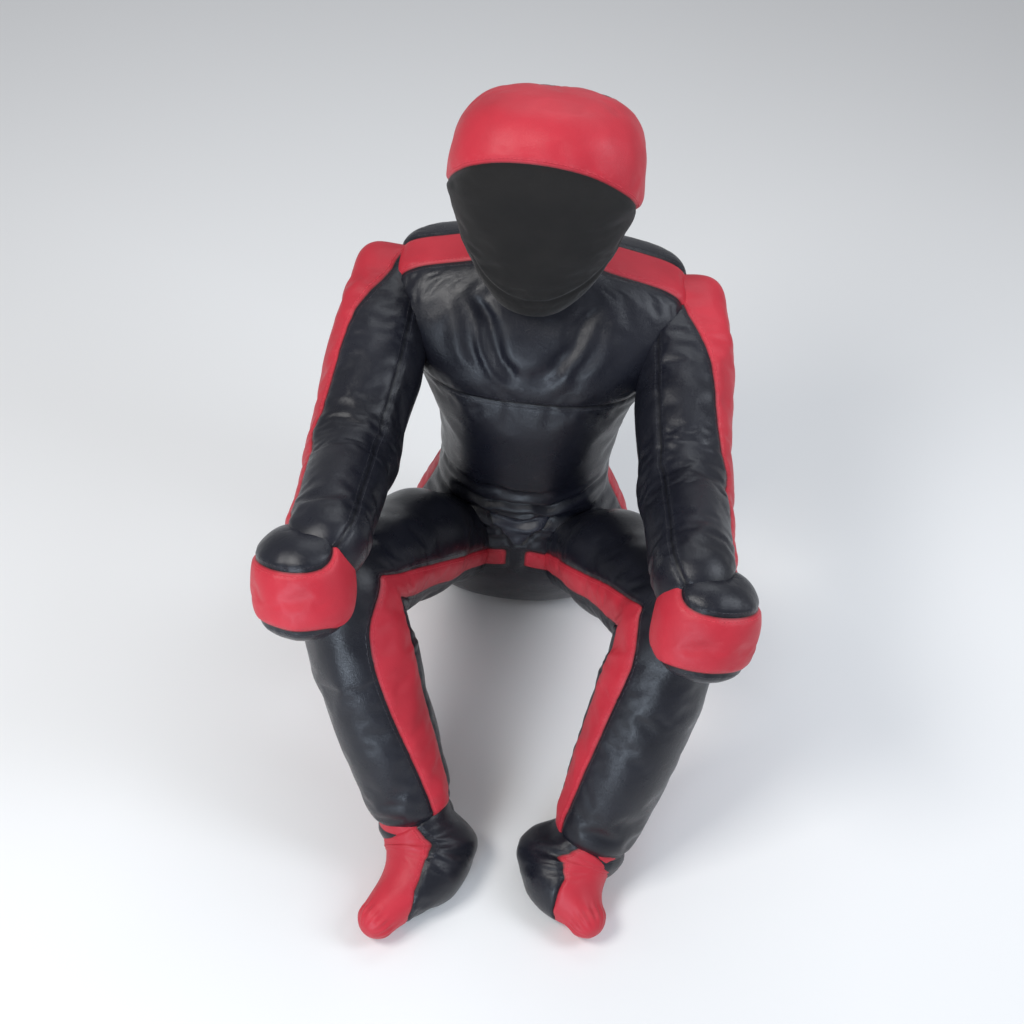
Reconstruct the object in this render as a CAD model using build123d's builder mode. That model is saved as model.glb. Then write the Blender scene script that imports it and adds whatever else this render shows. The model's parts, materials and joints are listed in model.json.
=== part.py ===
from build123d import *
from math import cos, radians, sin, sqrt
import os

os.makedirs("parts", exist_ok=True)

# ---------------------------------------------------------------------------
# Seated grappling dummy. Millimetres, +Z up. The figure faces -Y, so its own
# right side is at -X. The origin is the middle of the seat face on the floor.
# ---------------------------------------------------------------------------

COVER = 2.0          # thickness of the synthetic leather
EASE = 0.3           # gap between the stuffing and its cover
CLEAR = 1.0          # gap round every joint ball

# joint centres: (x, y, z) for the right side and the left side
HIP = {"right": (-94, 0, 115), "left": (94, 0, 115)}
KNEE = {"right": (-221, -323, 372), "left": (224, -323, 370)}
SHIN_DIR = {"right": (118, -147, -292), "left": (-78, -150, -296)}
SHIN_LENGTH = 346.0
SHOULDER = {"right": (-206, 80, 560), "left": (200, 80, 555)}
ELBOW = {"right": (-230, -171, 467), "left": (221, -171, 463)}
WRIST = {"right": (-229, -368, 514), "left": (226, -368, 514)}
HAND_DIR = {"right": (-24, -47, -32), "left": (20, -47, -38)}
HAND_REACH = 60.0
TOE = {"right": (-120, -614, 60), "left": (132, -590, 60)}
HEEL = {"right": (-46, -488, 42), "left": (82, -482, 42)}
WAIST = (0, 50, 262)
NECK = (0, 74, 612)
HEAD_LEAN = -0.10    # slope of the head's own axis, negative to the front

# radii
R_SHOULDER_BALL, R_HIP_BALL = 52.0, 60.0
R_ELBOW, R_KNEE, R_WRIST, R_ANKLE = 50.0, 58.0, 43.0, 45.0
R_UPPER_ARM = (48.0, 62.0, 66.0, 57.0)
R_FOREARM = (57.0, 56.0, 49.0)
R_THIGH = (60.0, 76.0, 80.0, 65.0)
R_SHIN = (65.0, 64.0, 52.0)
R_HAND, HAND_HALF, BAND_HALF = 65.0, 52.0, 33.0
R_HEAD = 124.0
R_NECK = 45.0
R_WAIST = 80.0       # stuffed roll that the waist bends over
HALF_WAIST = 118.0   # half the length of that roll

# stripe widths in degrees round the limb
ARM_STRIPE, LEG_STRIPE = 76.0, 58.0
# half the smallest angle that each joint closes to
ELBOW_BEVEL, KNEE_BEVEL, WRIST_BEVEL, ANKLE_BEVEL = 38.0, 29.0, 50.0, 38.0


def unit(v):
    return Vector(*v).normalized()


def cross_unit(a, b):
    return a.cross(b).normalized()


def turned(v, axis, angle):
    return v.rotate(Axis((0, 0, 0), tuple(axis)), angle)


def axial_plane(origin, axis, radial):
    """Sketch plane whose X is the radial direction and whose Y is the axis."""
    return Plane(origin=origin, x_dir=tuple(radial), z_dir=tuple(radial.cross(axis)))


def save(piece, label):
    piece.part.label = label
    export_step(piece.part, f"parts/{label}.step")


def ring_points(stations, outer, inner):
    """Closed profile between two offsets of a radius-against-length table."""
    up = [(r - outer, t) for t, r in stations]
    down = [(r - inner, t) for t, r in reversed(stations)]
    return up + down


class Segment:
    """A straight stuffed length between two joints, with its own axes."""

    def __init__(self, start, end, stations, seam_dir):
        self.start, self.end = Vector(*start), Vector(*end)
        self.axis = (self.end - self.start).normalized()
        self.length = (self.end - self.start).length
        self.stations = stations
        side = seam_dir - self.axis * seam_dir.dot(self.axis)
        self.seam = side.normalized()
        self.turn_axis = Axis(tuple(self.start), tuple(self.axis))

    def plane(self, angle=0.0):
        return axial_plane(self.start, self.axis, turned(self.seam, self.axis, angle))


def bevel_plane(pivot, along, flex, half_angle, set_back=1.5):
    """Plane through a joint that clears the neighbour on the side it folds to.

    along points from the joint into the piece, flex to the folding side.
    """
    a = radians(half_angle)
    normal = flex * cos(a) - along * sin(a)
    return Plane(origin=pivot + along * set_back, z_dir=tuple(normal))


def build_segment(label, seg, stripe_arc, bevels, balls=(), cups=(), stripe_stations=None):
    """Stuffing, black cover and red stripe of one stuffed length."""
    stripe_stations = stripe_stations or seg.stations
    with BuildPart() as stuffing:
        with BuildSketch(seg.plane()):
            with BuildLine():
                points = [(r - COVER - EASE, t) for t, r in seg.stations]
                Polyline((0, seg.stations[0][0]), *points, (0, seg.stations[-1][0]), close=True)
            make_face()
        revolve(axis=seg.turn_axis)
        for plane in bevels:
            split(bisect_by=plane, keep=Keep.BOTTOM)
        for centre, radius in balls:
            with Locations(Plane(origin=tuple(centre), z_dir=tuple(seg.axis))):
                Sphere(radius)
        for centre, radius in cups:
            with Locations(Plane(origin=tuple(centre), z_dir=tuple(seg.axis))):
                Sphere(radius + CLEAR, mode=Mode.SUBTRACT)
    save(stuffing, f"{label}_stuffing")

    for part_name, start, arc in (
        ("stripe", -stripe_arc / 2, stripe_arc),
        ("cover", stripe_arc / 2, 360 - stripe_arc),
    ):
        with BuildPart() as panel:
            with BuildSketch(seg.plane(start)):
                with BuildLine():
                    Polyline(*ring_points(seg.stations, 0, COVER), close=True)
                make_face()
            revolve(axis=seg.turn_axis, revolution_arc=arc)
            for plane in bevels:
                split(bisect_by=plane, keep=Keep.BOTTOM)
            for centre, radius in cups:
                with Locations(Plane(origin=tuple(centre), z_dir=tuple(seg.axis))):
                    Sphere(radius + CLEAR, mode=Mode.SUBTRACT)
        save(panel, f"{label}_{part_name}")


X = Vector(1, 0, 0)
joints = {}

# ---------------------------------------------------------------------------
# Legs and arms
# ---------------------------------------------------------------------------
for side, sx in (("right", -1), ("left", 1)):
    outward = Vector(sx, 0, 0)
    hip, knee = Vector(*HIP[side]), Vector(*KNEE[side])
    ankle = knee + unit(SHIN_DIR[side]) * SHIN_LENGTH
    thigh_dir, shin_dir = (knee - hip).normalized(), (ankle - knee).normalized()
    knee_hinge = cross_unit(thigh_dir, shin_dir)

    # ball of stuffing sewn between the seat and the thigh
    with BuildPart() as hip_ball:
        with Locations(hip):
            Sphere(R_HIP_BALL)
    save(hip_ball, f"hip_joint_{side}")

    length = (knee - hip).length
    thigh = Segment(
        hip, knee,
        [(54, R_THIGH[0]), (135, R_THIGH[1]), (length * 0.55, R_THIGH[2]), (length - 1, R_THIGH[3])],
        Vector(-sx, 0, 0) * 0.75 + Vector(0, -0.55, -0.35),
    )
    flex = (shin_dir - thigh_dir * shin_dir.dot(thigh_dir)).normalized()
    build_segment(
        f"thigh_{side}", thigh, LEG_STRIPE,
        [bevel_plane(knee, thigh_dir * -1, flex, KNEE_BEVEL)],
        balls=[(knee, R_KNEE)], cups=[(hip, R_HIP_BALL)],
    )

    shin = Segment(
        knee, ankle,
        [(1, R_SHIN[0]), (SHIN_LENGTH * 0.35, R_SHIN[1]), (SHIN_LENGTH - 1, R_SHIN[2])],
        Vector(-sx, 0, 0) * 0.85 + Vector(0, -0.45, 0),
    )
    flex = (thigh_dir * -1 + shin_dir * thigh_dir.dot(shin_dir)).normalized()
    toe, heel = Vector(*TOE[side]), Vector(*HEEL[side])
    foot_dir = (toe - heel).normalized()
    ankle_hinge = cross_unit(shin_dir, foot_dir)
    foot_flex = (foot_dir - shin_dir * foot_dir.dot(shin_dir)).normalized()
    build_segment(
        f"shin_{side}", shin, LEG_STRIPE,
        [
            bevel_plane(knee, shin_dir, flex, KNEE_BEVEL),
            bevel_plane(ankle, shin_dir * -1, foot_flex, ANKLE_BEVEL),
            bevel_plane(ankle, shin_dir * -1, foot_flex * -1, ANKLE_BEVEL + 24),
        ],
        cups=[(knee, R_KNEE), (ankle, R_ANKLE)],
    )

    # foot: a blunt stuffed sock lying from heel to toe, flattened where it rests
    foot_len = (toe - heel).length
    dorsum = (Vector(0, 0, 1) - foot_dir * foot_dir.Z).normalized()
    dorsum = turned(dorsum, foot_dir, 24 * sx)
    foot = Segment(heel, toe, [(0, 46)], dorsum)
    post_foot = heel + foot_dir * (ankle - heel).dot(foot_dir)
    post_dir, post_len = (ankle - post_foot).normalized(), (ankle - post_foot).length
    with BuildPart() as foot_stuffing:
        with BuildSketch(foot.plane(-24 * sx)):
            with BuildLine():
                r = 47 - COVER - EASE
                heel_arc = CenterArc((0, 0), r, -90, 90)
                body = Polyline((r, 0), (r, foot_len * 0.55), (r - 7, foot_len))
                toe_arc = CenterArc((0, foot_len), r - 7, 0, 90)
                Line((0, foot_len + r - 7), (0, -r))
            make_face()
        revolve(axis=foot.turn_axis)
        # hollow instep that clears the end of the shin, with a stem up to the ankle ball
        with Locations(Plane(origin=tuple(ankle), z_dir=tuple(post_dir))):
            Sphere(R_SHIN[2] + 9 - EASE, mode=Mode.SUBTRACT)
        with Locations(Plane(origin=tuple(ankle), z_dir=tuple(post_dir * -1))):
            Cylinder(24, post_len + 4, align=(Align.CENTER, Align.CENTER, Align.MIN))
        with Locations(Plane(origin=tuple(ankle), z_dir=tuple(post_dir))):
            Sphere(R_ANKLE)
        split(bisect_by=Plane.XY.offset(COVER + EASE), keep=Keep.TOP)
    save(foot_stuffing, f"foot_{side}_stuffing")
    for part_name, start, arc in (("top", -50, 100), ("sock", 50, 260)):
        with BuildPart() as foot_panel:
            with BuildSketch(foot.plane(start)):
                with BuildLine():
                    r = 47
                    q = r - COVER
                    CenterArc((0, 0), r, -90, 90)
                    Polyline((r, 0), (r, foot_len * 0.55), (r - 7, foot_len))
                    CenterArc((0, foot_len), r - 7, 0, 90)
                    Line((0, foot_len + r - 7), (0, foot_len + q - 7))
                    CenterArc((0, foot_len), q - 7, 90, -90)
                    Polyline((q - 7, foot_len), (q, foot_len * 0.55), (q, 0))
                    CenterArc((0, 0), q, 0, -90)
                    Line((0, -q), (0, -r))
                make_face()
            revolve(axis=foot.turn_axis, revolution_arc=arc)
            with Locations(ankle):
                Sphere(R_ANKLE + EASE, mode=Mode.SUBTRACT)
            # room for the end of the shin over its whole bend
            with Locations(ankle):
                Sphere(R_SHIN[2] + 9, mode=Mode.SUBTRACT)
            split(bisect_by=Plane.XY, keep=Keep.TOP)
        save(foot_panel, f"foot_{side}_{part_name}")

    # ball of stuffing sewn into the shoulder
    shoulder, elbow, wrist = Vector(*SHOULDER[side]), Vector(*ELBOW[side]), Vector(*WRIST[side])
    with BuildPart() as shoulder_ball:
        with Locations(shoulder):
            Sphere(R_SHOULDER_BALL)
    save(shoulder_ball, f"shoulder_joint_{side}")

    upper_dir, fore_dir = (elbow - shoulder).normalized(), (wrist - elbow).normalized()
    hand_dir = unit(HAND_DIR[side])
    elbow_hinge, wrist_hinge = cross_unit(upper_dir, fore_dir), cross_unit(fore_dir, hand_dir)
    length = (elbow - shoulder).length
    upper = Segment(
        shoulder, elbow,
        [(42, R_UPPER_ARM[0]), (60, R_UPPER_ARM[1]), (length * 0.5, R_UPPER_ARM[2]), (length - 1, R_UPPER_ARM[3])],
        outward,
    )
    flex = (fore_dir - upper_dir * fore_dir.dot(upper_dir)).normalized()
    build_segment(
        f"upper_arm_{side}", upper, ARM_STRIPE,
        [bevel_plane(elbow, upper_dir * -1, flex, ELBOW_BEVEL)],
        balls=[(elbow, R_ELBOW)], cups=[(shoulder, R_SHOULDER_BALL)],
    )
    length = (wrist - elbow).length
    fore = Segment(elbow, wrist, [(1, R_FOREARM[0]), (length * 0.4, R_FOREARM[1]), (length - 1, R_FOREARM[2])], outward)
    flex = (upper_dir * -1 + fore_dir * upper_dir.dot(fore_dir)).normalized()
    hand_flex = (hand_dir - fore_dir * hand_dir.dot(fore_dir)).normalized()
    build_segment(
        f"forearm_{side}", fore, ARM_STRIPE * 0.7,
        [
            bevel_plane(elbow, fore_dir, flex, ELBOW_BEVEL),
            bevel_plane(wrist, fore_dir * -1, hand_flex, WRIST_BEVEL),
            bevel_plane(wrist, fore_dir * -1, hand_flex * -1, WRIST_BEVEL),
        ],
        cups=[(elbow, R_ELBOW), (wrist, R_WRIST)],
    )

    # hand: a blunt stuffed drum with a panel on each face and a band round it
    centre = wrist + hand_dir * HAND_REACH
    drum = (Vector(0.12 * sx, -0.30, 0.95)).normalized()
    hand_plane = axial_plane(centre, drum, (hand_dir - drum * hand_dir.dot(drum)).normalized())
    hand_axis = Axis(tuple(centre), tuple(drum))

    def hand_edge(t, inset):
        return sqrt((R_HAND - inset) ** 2 - t**2)

    with BuildPart() as hand_stuffing:
        with BuildSketch(hand_plane):
            with BuildLine():
                gap = COVER + EASE
                h = HAND_HALF - gap
                r = hand_edge(h, gap)
                ThreePointArc((r, -h), (R_HAND - gap, 0), (r, h))
                Polyline((r, h), (0, h), (0, -h), (r, -h))
            make_face()
        revolve(axis=hand_axis)
        with Locations(wrist):
            Sphere(R_WRIST)
    save(hand_stuffing, f"hand_{side}_stuffing")
    with BuildPart() as hand_band:
        with BuildSketch(hand_plane):
            with BuildLine():
                r, q = hand_edge(BAND_HALF, 0), hand_edge(BAND_HALF, COVER)
                ThreePointArc((r, -BAND_HALF), (R_HAND, 0), (r, BAND_HALF))
                Line((r, BAND_HALF), (q, BAND_HALF))
                ThreePointArc((q, BAND_HALF), (R_HAND - COVER, 0), (q, -BAND_HALF))
                Line((q, -BAND_HALF), (r, -BAND_HALF))
            make_face()
        revolve(axis=hand_axis)
        with Locations(wrist):
            Sphere(R_WRIST + 12, mode=Mode.SUBTRACT)
    save(hand_band, f"hand_{side}_band")
    for part_name, sign in (("back", 1), ("palm", -1)):
        with BuildPart() as hand_panel:
            with BuildSketch(hand_plane):
                with BuildLine():
                    h, k, b = HAND_HALF, HAND_HALF - COVER, BAND_HALF + EASE
                    mid, mid_in = (h + b) / 2, (k + b) / 2
                    ThreePointArc((hand_edge(b, 0), b * sign), (hand_edge(mid, 0), mid * sign), (hand_edge(h, 0), h * sign))
                    Polyline((hand_edge(h, 0), h * sign), (0, h * sign), (0, k * sign), (hand_edge(k, COVER), k * sign))
                    ThreePointArc((hand_edge(k, COVER), k * sign), (hand_edge(mid_in, COVER), mid_in * sign), (hand_edge(b, COVER), b * sign))
                    Line((hand_edge(b, COVER), b * sign), (hand_edge(b, 0), b * sign))
                make_face()
            revolve(axis=hand_axis)
            with Locations(wrist):
                Sphere(R_WRIST + 12, mode=Mode.SUBTRACT)
        save(hand_panel, f"hand_{side}_{part_name}")

    joints[side] = dict(
        knee_hinge=knee_hinge, ankle_hinge=ankle_hinge, elbow_hinge=elbow_hinge, wrist_hinge=wrist_hinge,
        spread=cross_unit(X, thigh_dir) * -sx, raise_=cross_unit(X, upper_dir) * -sx, ankle=ankle,
        thigh_dir=thigh_dir, shin_dir=shin_dir, upper_dir=upper_dir, fore_dir=fore_dir, drum=drum, hand=centre,
    )

# ---------------------------------------------------------------------------
# Pelvis: a wedge-shaped seat with a stuffed roll across its top
# ---------------------------------------------------------------------------
wx, wy, wz = WAIST


def seat_outline(inset):
    """Side outline of the seat: y forward is negative, drawn as (y, z)."""
    return [
        (-84 + inset * 2.0, inset), (-6 + inset, 104), (6 + inset, 118), (6 + inset, 196),
        (12 + inset, 226), (60, 262), (118 - inset, 262), (132 - inset, 215), (146 - inset, 130),
        (140 - inset, 40), (112 - inset, inset),
    ]


SEAT_HALF = 126.0
yz = Plane(origin=(0, 0, 0), x_dir=(0, 1, 0), z_dir=(1, 0, 0))

with BuildPart() as pelvis_stuffing:
    with BuildSketch(yz):
        Polygon(*seat_outline(COVER + EASE), align=None)
    extrude(amount=HALF_WAIST - COVER - EASE, both=True)
    with BuildSketch(yz):
        with Locations((wy, wz)):
            Circle(R_WAIST - COVER - EASE)
    extrude(amount=HALF_WAIST - COVER - EASE, both=True)
    for side in ("right", "left"):
        with Locations(HIP[side]):
            Sphere(R_HIP_BALL + CLEAR, mode=Mode.SUBTRACT)
save(pelvis_stuffing, "pelvis_stuffing")

with BuildPart() as seat_cover:
    with BuildSketch(yz):
        Polygon(*seat_outline(0), align=None)
        with Locations((wy, wz)):
            Circle(R_WAIST)
        Polygon(*seat_outline(COVER), align=None, mode=Mode.SUBTRACT)
        with Locations((wy, wz)):
            Circle(R_WAIST - COVER, mode=Mode.SUBTRACT)
    extrude(amount=HALF_WAIST - COVER, both=True)
    for side in ("right", "left"):
        with Locations(HIP[side]):
            Sphere(R_HIP_BALL + CLEAR, mode=Mode.SUBTRACT)
save(seat_cover, "seat_cover")

for side, sx in (("right", -1), ("left", 1)):
    with BuildPart() as hip_panel:
        with BuildSketch(yz.offset(sx * (HALF_WAIST - COVER + EASE / 3))):
            Polygon(*seat_outline(0), align=None)
            with Locations((wy, wz)):
                Circle(R_WAIST)
        extrude(amount=sx * COVER)
        with Locations(HIP[side]):
            Sphere(R_HIP_BALL + CLEAR, mode=Mode.SUBTRACT)
    save(hip_panel, f"hip_panel_{side}")

# centre band between the legs, up to the belly
with BuildPart() as crotch_band:
    with BuildSketch(yz):
        Polygon(
            (-85, 0.5), (-92, 40), (-84, 110), (-58, 165), (-33, 205), (11, 226), (5.5, 196), (5.5, 119), (-7, 105),
            align=None,
        )
    extrude(amount=29, both=True)
    with BuildSketch(yz):
        with Locations((wy, wz)):
            Circle(R_WAIST + 16)
    extrude(amount=40, both=True, mode=Mode.SUBTRACT)
    for side in ("right", "left"):
        with Locations(HIP[side]):
            Sphere(R_HIP_BALL + 2 * CLEAR, mode=Mode.SUBTRACT)
save(crotch_band, "crotch_band")

# ---------------------------------------------------------------------------
# Chest: slouched torso lofted through ellipses, hollow at the waist roll
# ---------------------------------------------------------------------------
CHEST = (  # height, half width, half depth, middle y
    (268, 124, 88, 52), (380, 128, 98, 48), (480, 134, 102, 54), (560, 134, 94, 66), (604, 104, 74, 74), (622, 66, 52, 78),
)
YOKE_Z = 432.0
neck = Vector(*NECK)


# the lower edge rises to the front and the back, so that the waist can fold
FOLD_FRONT = Plane(origin=(0, wy, wz + 6), z_dir=(0, sin(radians(14)), cos(radians(14))))
FOLD_BACK = Plane(origin=(0, wy, wz + 6), z_dir=(0, -sin(radians(14)), cos(radians(14))))


def section_plane(z, y):
    return Plane(origin=(0, y, z), x_dir=(1, 0, 0), z_dir=(0, 0, 1))


with BuildPart() as chest_stuffing:
    for z, a, b, y in CHEST:
        with BuildSketch(section_plane(z, y)):
            Ellipse(a - COVER - EASE, b - COVER - EASE)
    loft(ruled=True)
    for side, sx in (("right", -1), ("left", 1)):
        s = SHOULDER[side]
        # stub that carries the shoulder ball
        with BuildSketch(Plane(origin=(sx * 70, s[1], s[2]), x_dir=(0, 1, 0), z_dir=(sx, 0, 0))):
            Circle(36)
        extrude(amount=abs(s[0]) - 70 - 20)
        with Locations(Plane(origin=s, z_dir=(sx, 0, 0))):
            Sphere(R_SHOULDER_BALL + CLEAR, mode=Mode.SUBTRACT)
    with Locations(NECK):
        Sphere(R_NECK + 4 + CLEAR, mode=Mode.SUBTRACT)
    with BuildSketch(yz):
        with Locations((wy, wz)):
            Circle(R_WAIST + CLEAR)
    extrude(amount=200, both=True, mode=Mode.SUBTRACT)
    split(bisect_by=FOLD_FRONT, keep=Keep.TOP)
    split(bisect_by=FOLD_BACK, keep=Keep.TOP)
save(chest_stuffing, "chest_stuffing")

front_of_seam = Plane(origin=(0, 62, 0), z_dir=(0, -1, 0))
for label, cuts in (
    ("chest_yoke", [(front_of_seam, Keep.TOP), (Plane.XY.offset(YOKE_Z), Keep.TOP)]),
    ("belly_panel", [(front_of_seam, Keep.TOP), (Plane.XY.offset(YOKE_Z - EASE), Keep.BOTTOM)]),
    ("back_panel", [(front_of_seam.offset(-EASE), Keep.BOTTOM)]),
):
    with BuildPart() as torso_panel:
        for z, a, b, y in CHEST:
            with BuildSketch(section_plane(z, y)):
                Ellipse(a, b)
        loft(ruled=True)
        for z, a, b, y in CHEST:
            with BuildSketch(section_plane(z, y)):
                Ellipse(a - COVER, b - COVER)
        loft(ruled=True, mode=Mode.SUBTRACT)
        # armholes, neck hole and waist
        for side, sx in (("right", -1), ("left", 1)):
            s = SHOULDER[side]
            with BuildSketch(Plane(origin=(sx * 40, s[1], s[2]), x_dir=(0, 1, 0), z_dir=(sx, 0, 0))):
                Circle(37)
            extrude(amount=140, mode=Mode.SUBTRACT)
        with Locations(NECK):
            Sphere(R_NECK + 8, mode=Mode.SUBTRACT)
        with BuildSketch(yz):
            with Locations((wy, wz)):
                Circle(R_WAIST + CLEAR)
        extrude(amount=200, both=True, mode=Mode.SUBTRACT)
        split(bisect_by=FOLD_FRONT, keep=Keep.TOP)
        split(bisect_by=FOLD_BACK, keep=Keep.TOP)
        for plane, keep in cuts:
            split(bisect_by=plane, keep=keep)
    save(torso_panel, label)

for side, sx in (("right", -1), ("left", 1)):
    # red strap sewn over the shoulder seam
    with BuildPart() as strap:
        for rise, mode in ((EASE + COVER, Mode.ADD), (EASE, Mode.SUBTRACT)):
            for z, a, b, y in CHEST[3:]:
                with BuildSketch(section_plane(z, y)):
                    Ellipse(a + rise, b + rise)
            loft(ruled=True, mode=mode)
        with BuildSketch(Plane.XY.offset(575)):
            with Locations((sx * 86, 30)):
                Rectangle(42, 32)
        extrude(amount=46, mode=Mode.INTERSECT)
    save(strap, f"shoulder_strap_{side}")

# ---------------------------------------------------------------------------
# Neck and head
# ---------------------------------------------------------------------------
head_axis = Vector(0, HEAD_LEAN, 1).normalized()
neck_axis = Axis(tuple(neck), tuple(head_axis))
neck_plane = axial_plane(neck, head_axis, X)
STEM = 92.0

with BuildPart() as neck_stuffing:
    with Locations(neck):
        Sphere(R_NECK + 4)
    with BuildSketch(neck_plane):
        Polygon((0, 0), (R_NECK, 0), (R_NECK, STEM - 10), (R_NECK - 10, STEM), (0, STEM), align=None)
    revolve(axis=neck_axis)
save(neck_stuffing, "neck_stuffing")


JAW = (60.0, 56.0)        # radius and height of the flat under the jaw
CHEEK = (101.0, 96.0)
TEMPLE_Z = 172.0          # height of the widest ring, where the crown's dome starts


def head_outline(inset):
    """Points of the egg-shaped outline: jaw, cheek, temple, dome and top."""
    dome = R_HEAD - inset
    return (
        (JAW[0] - inset * 0.4, JAW[1] + inset), (CHEEK[0] - inset * 0.8, CHEEK[1] + inset * 0.6), (dome, TEMPLE_Z),
        (dome * sin(radians(45)), TEMPLE_Z + dome * cos(radians(45))), (0, TEMPLE_Z + dome),
    )


with BuildPart() as head_stuffing:
    with BuildSketch(neck_plane):
        jaw, cheek, temple, dome, top = head_outline(COVER + EASE)
        with BuildLine():
            ThreePointArc(jaw, cheek, temple)
            ThreePointArc(temple, dome, top)
            Polyline(top, (0, jaw[1]), jaw)
        make_face()
    revolve(axis=neck_axis)
    with BuildSketch(neck_plane):
        Polygon((0, 40), (R_NECK + CLEAR, 40), (R_NECK + CLEAR, STEM + 2), (0, STEM + 2), align=None)
    revolve(axis=neck_axis, mode=Mode.SUBTRACT)
save(head_stuffing, "head_stuffing")

ear = neck + head_axis * 160
front_cut = Plane(origin=tuple(ear), z_dir=(0, -cos(radians(24)), -sin(radians(24))))
back_cut = Plane(origin=tuple(ear), z_dir=(0, cos(radians(40)), -sin(radians(40))))
for label, cuts in (
    ("face_panel", [(front_cut, Keep.TOP)]),
    ("head_gusset", [(front_cut.offset(-EASE), Keep.BOTTOM), (back_cut, Keep.BOTTOM)]),
    ("crown_panel", [(front_cut.offset(-EASE), Keep.BOTTOM), (back_cut.offset(EASE), Keep.TOP)]),
):
    with BuildPart() as head_panel:
        for inset, mode in ((0, Mode.ADD), (COVER, Mode.SUBTRACT)):
            with BuildSketch(neck_plane):
                jaw, cheek, temple, dome, top = head_outline(inset)
                with BuildLine():
                    ThreePointArc(jaw, cheek, temple)
                    ThreePointArc(temple, dome, top)
                    Polyline(top, (0, jaw[1]), jaw)
                make_face()
            revolve(axis=neck_axis, mode=mode)
        with BuildSketch(neck_plane):
            Polygon((0, 40), (R_NECK + 6, 40), (R_NECK + 6, STEM), (0, STEM), align=None)
        revolve(axis=neck_axis, mode=Mode.SUBTRACT)
        for plane, keep in cuts:
            split(bisect_by=plane, keep=keep)
    save(head_panel, label)

for side in joints:
    for key, value in joints[side].items():
        print(side, key, *(round(c, 6) for c in value))
print("both head_axis", *(round(c, 6) for c in head_axis))
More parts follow.
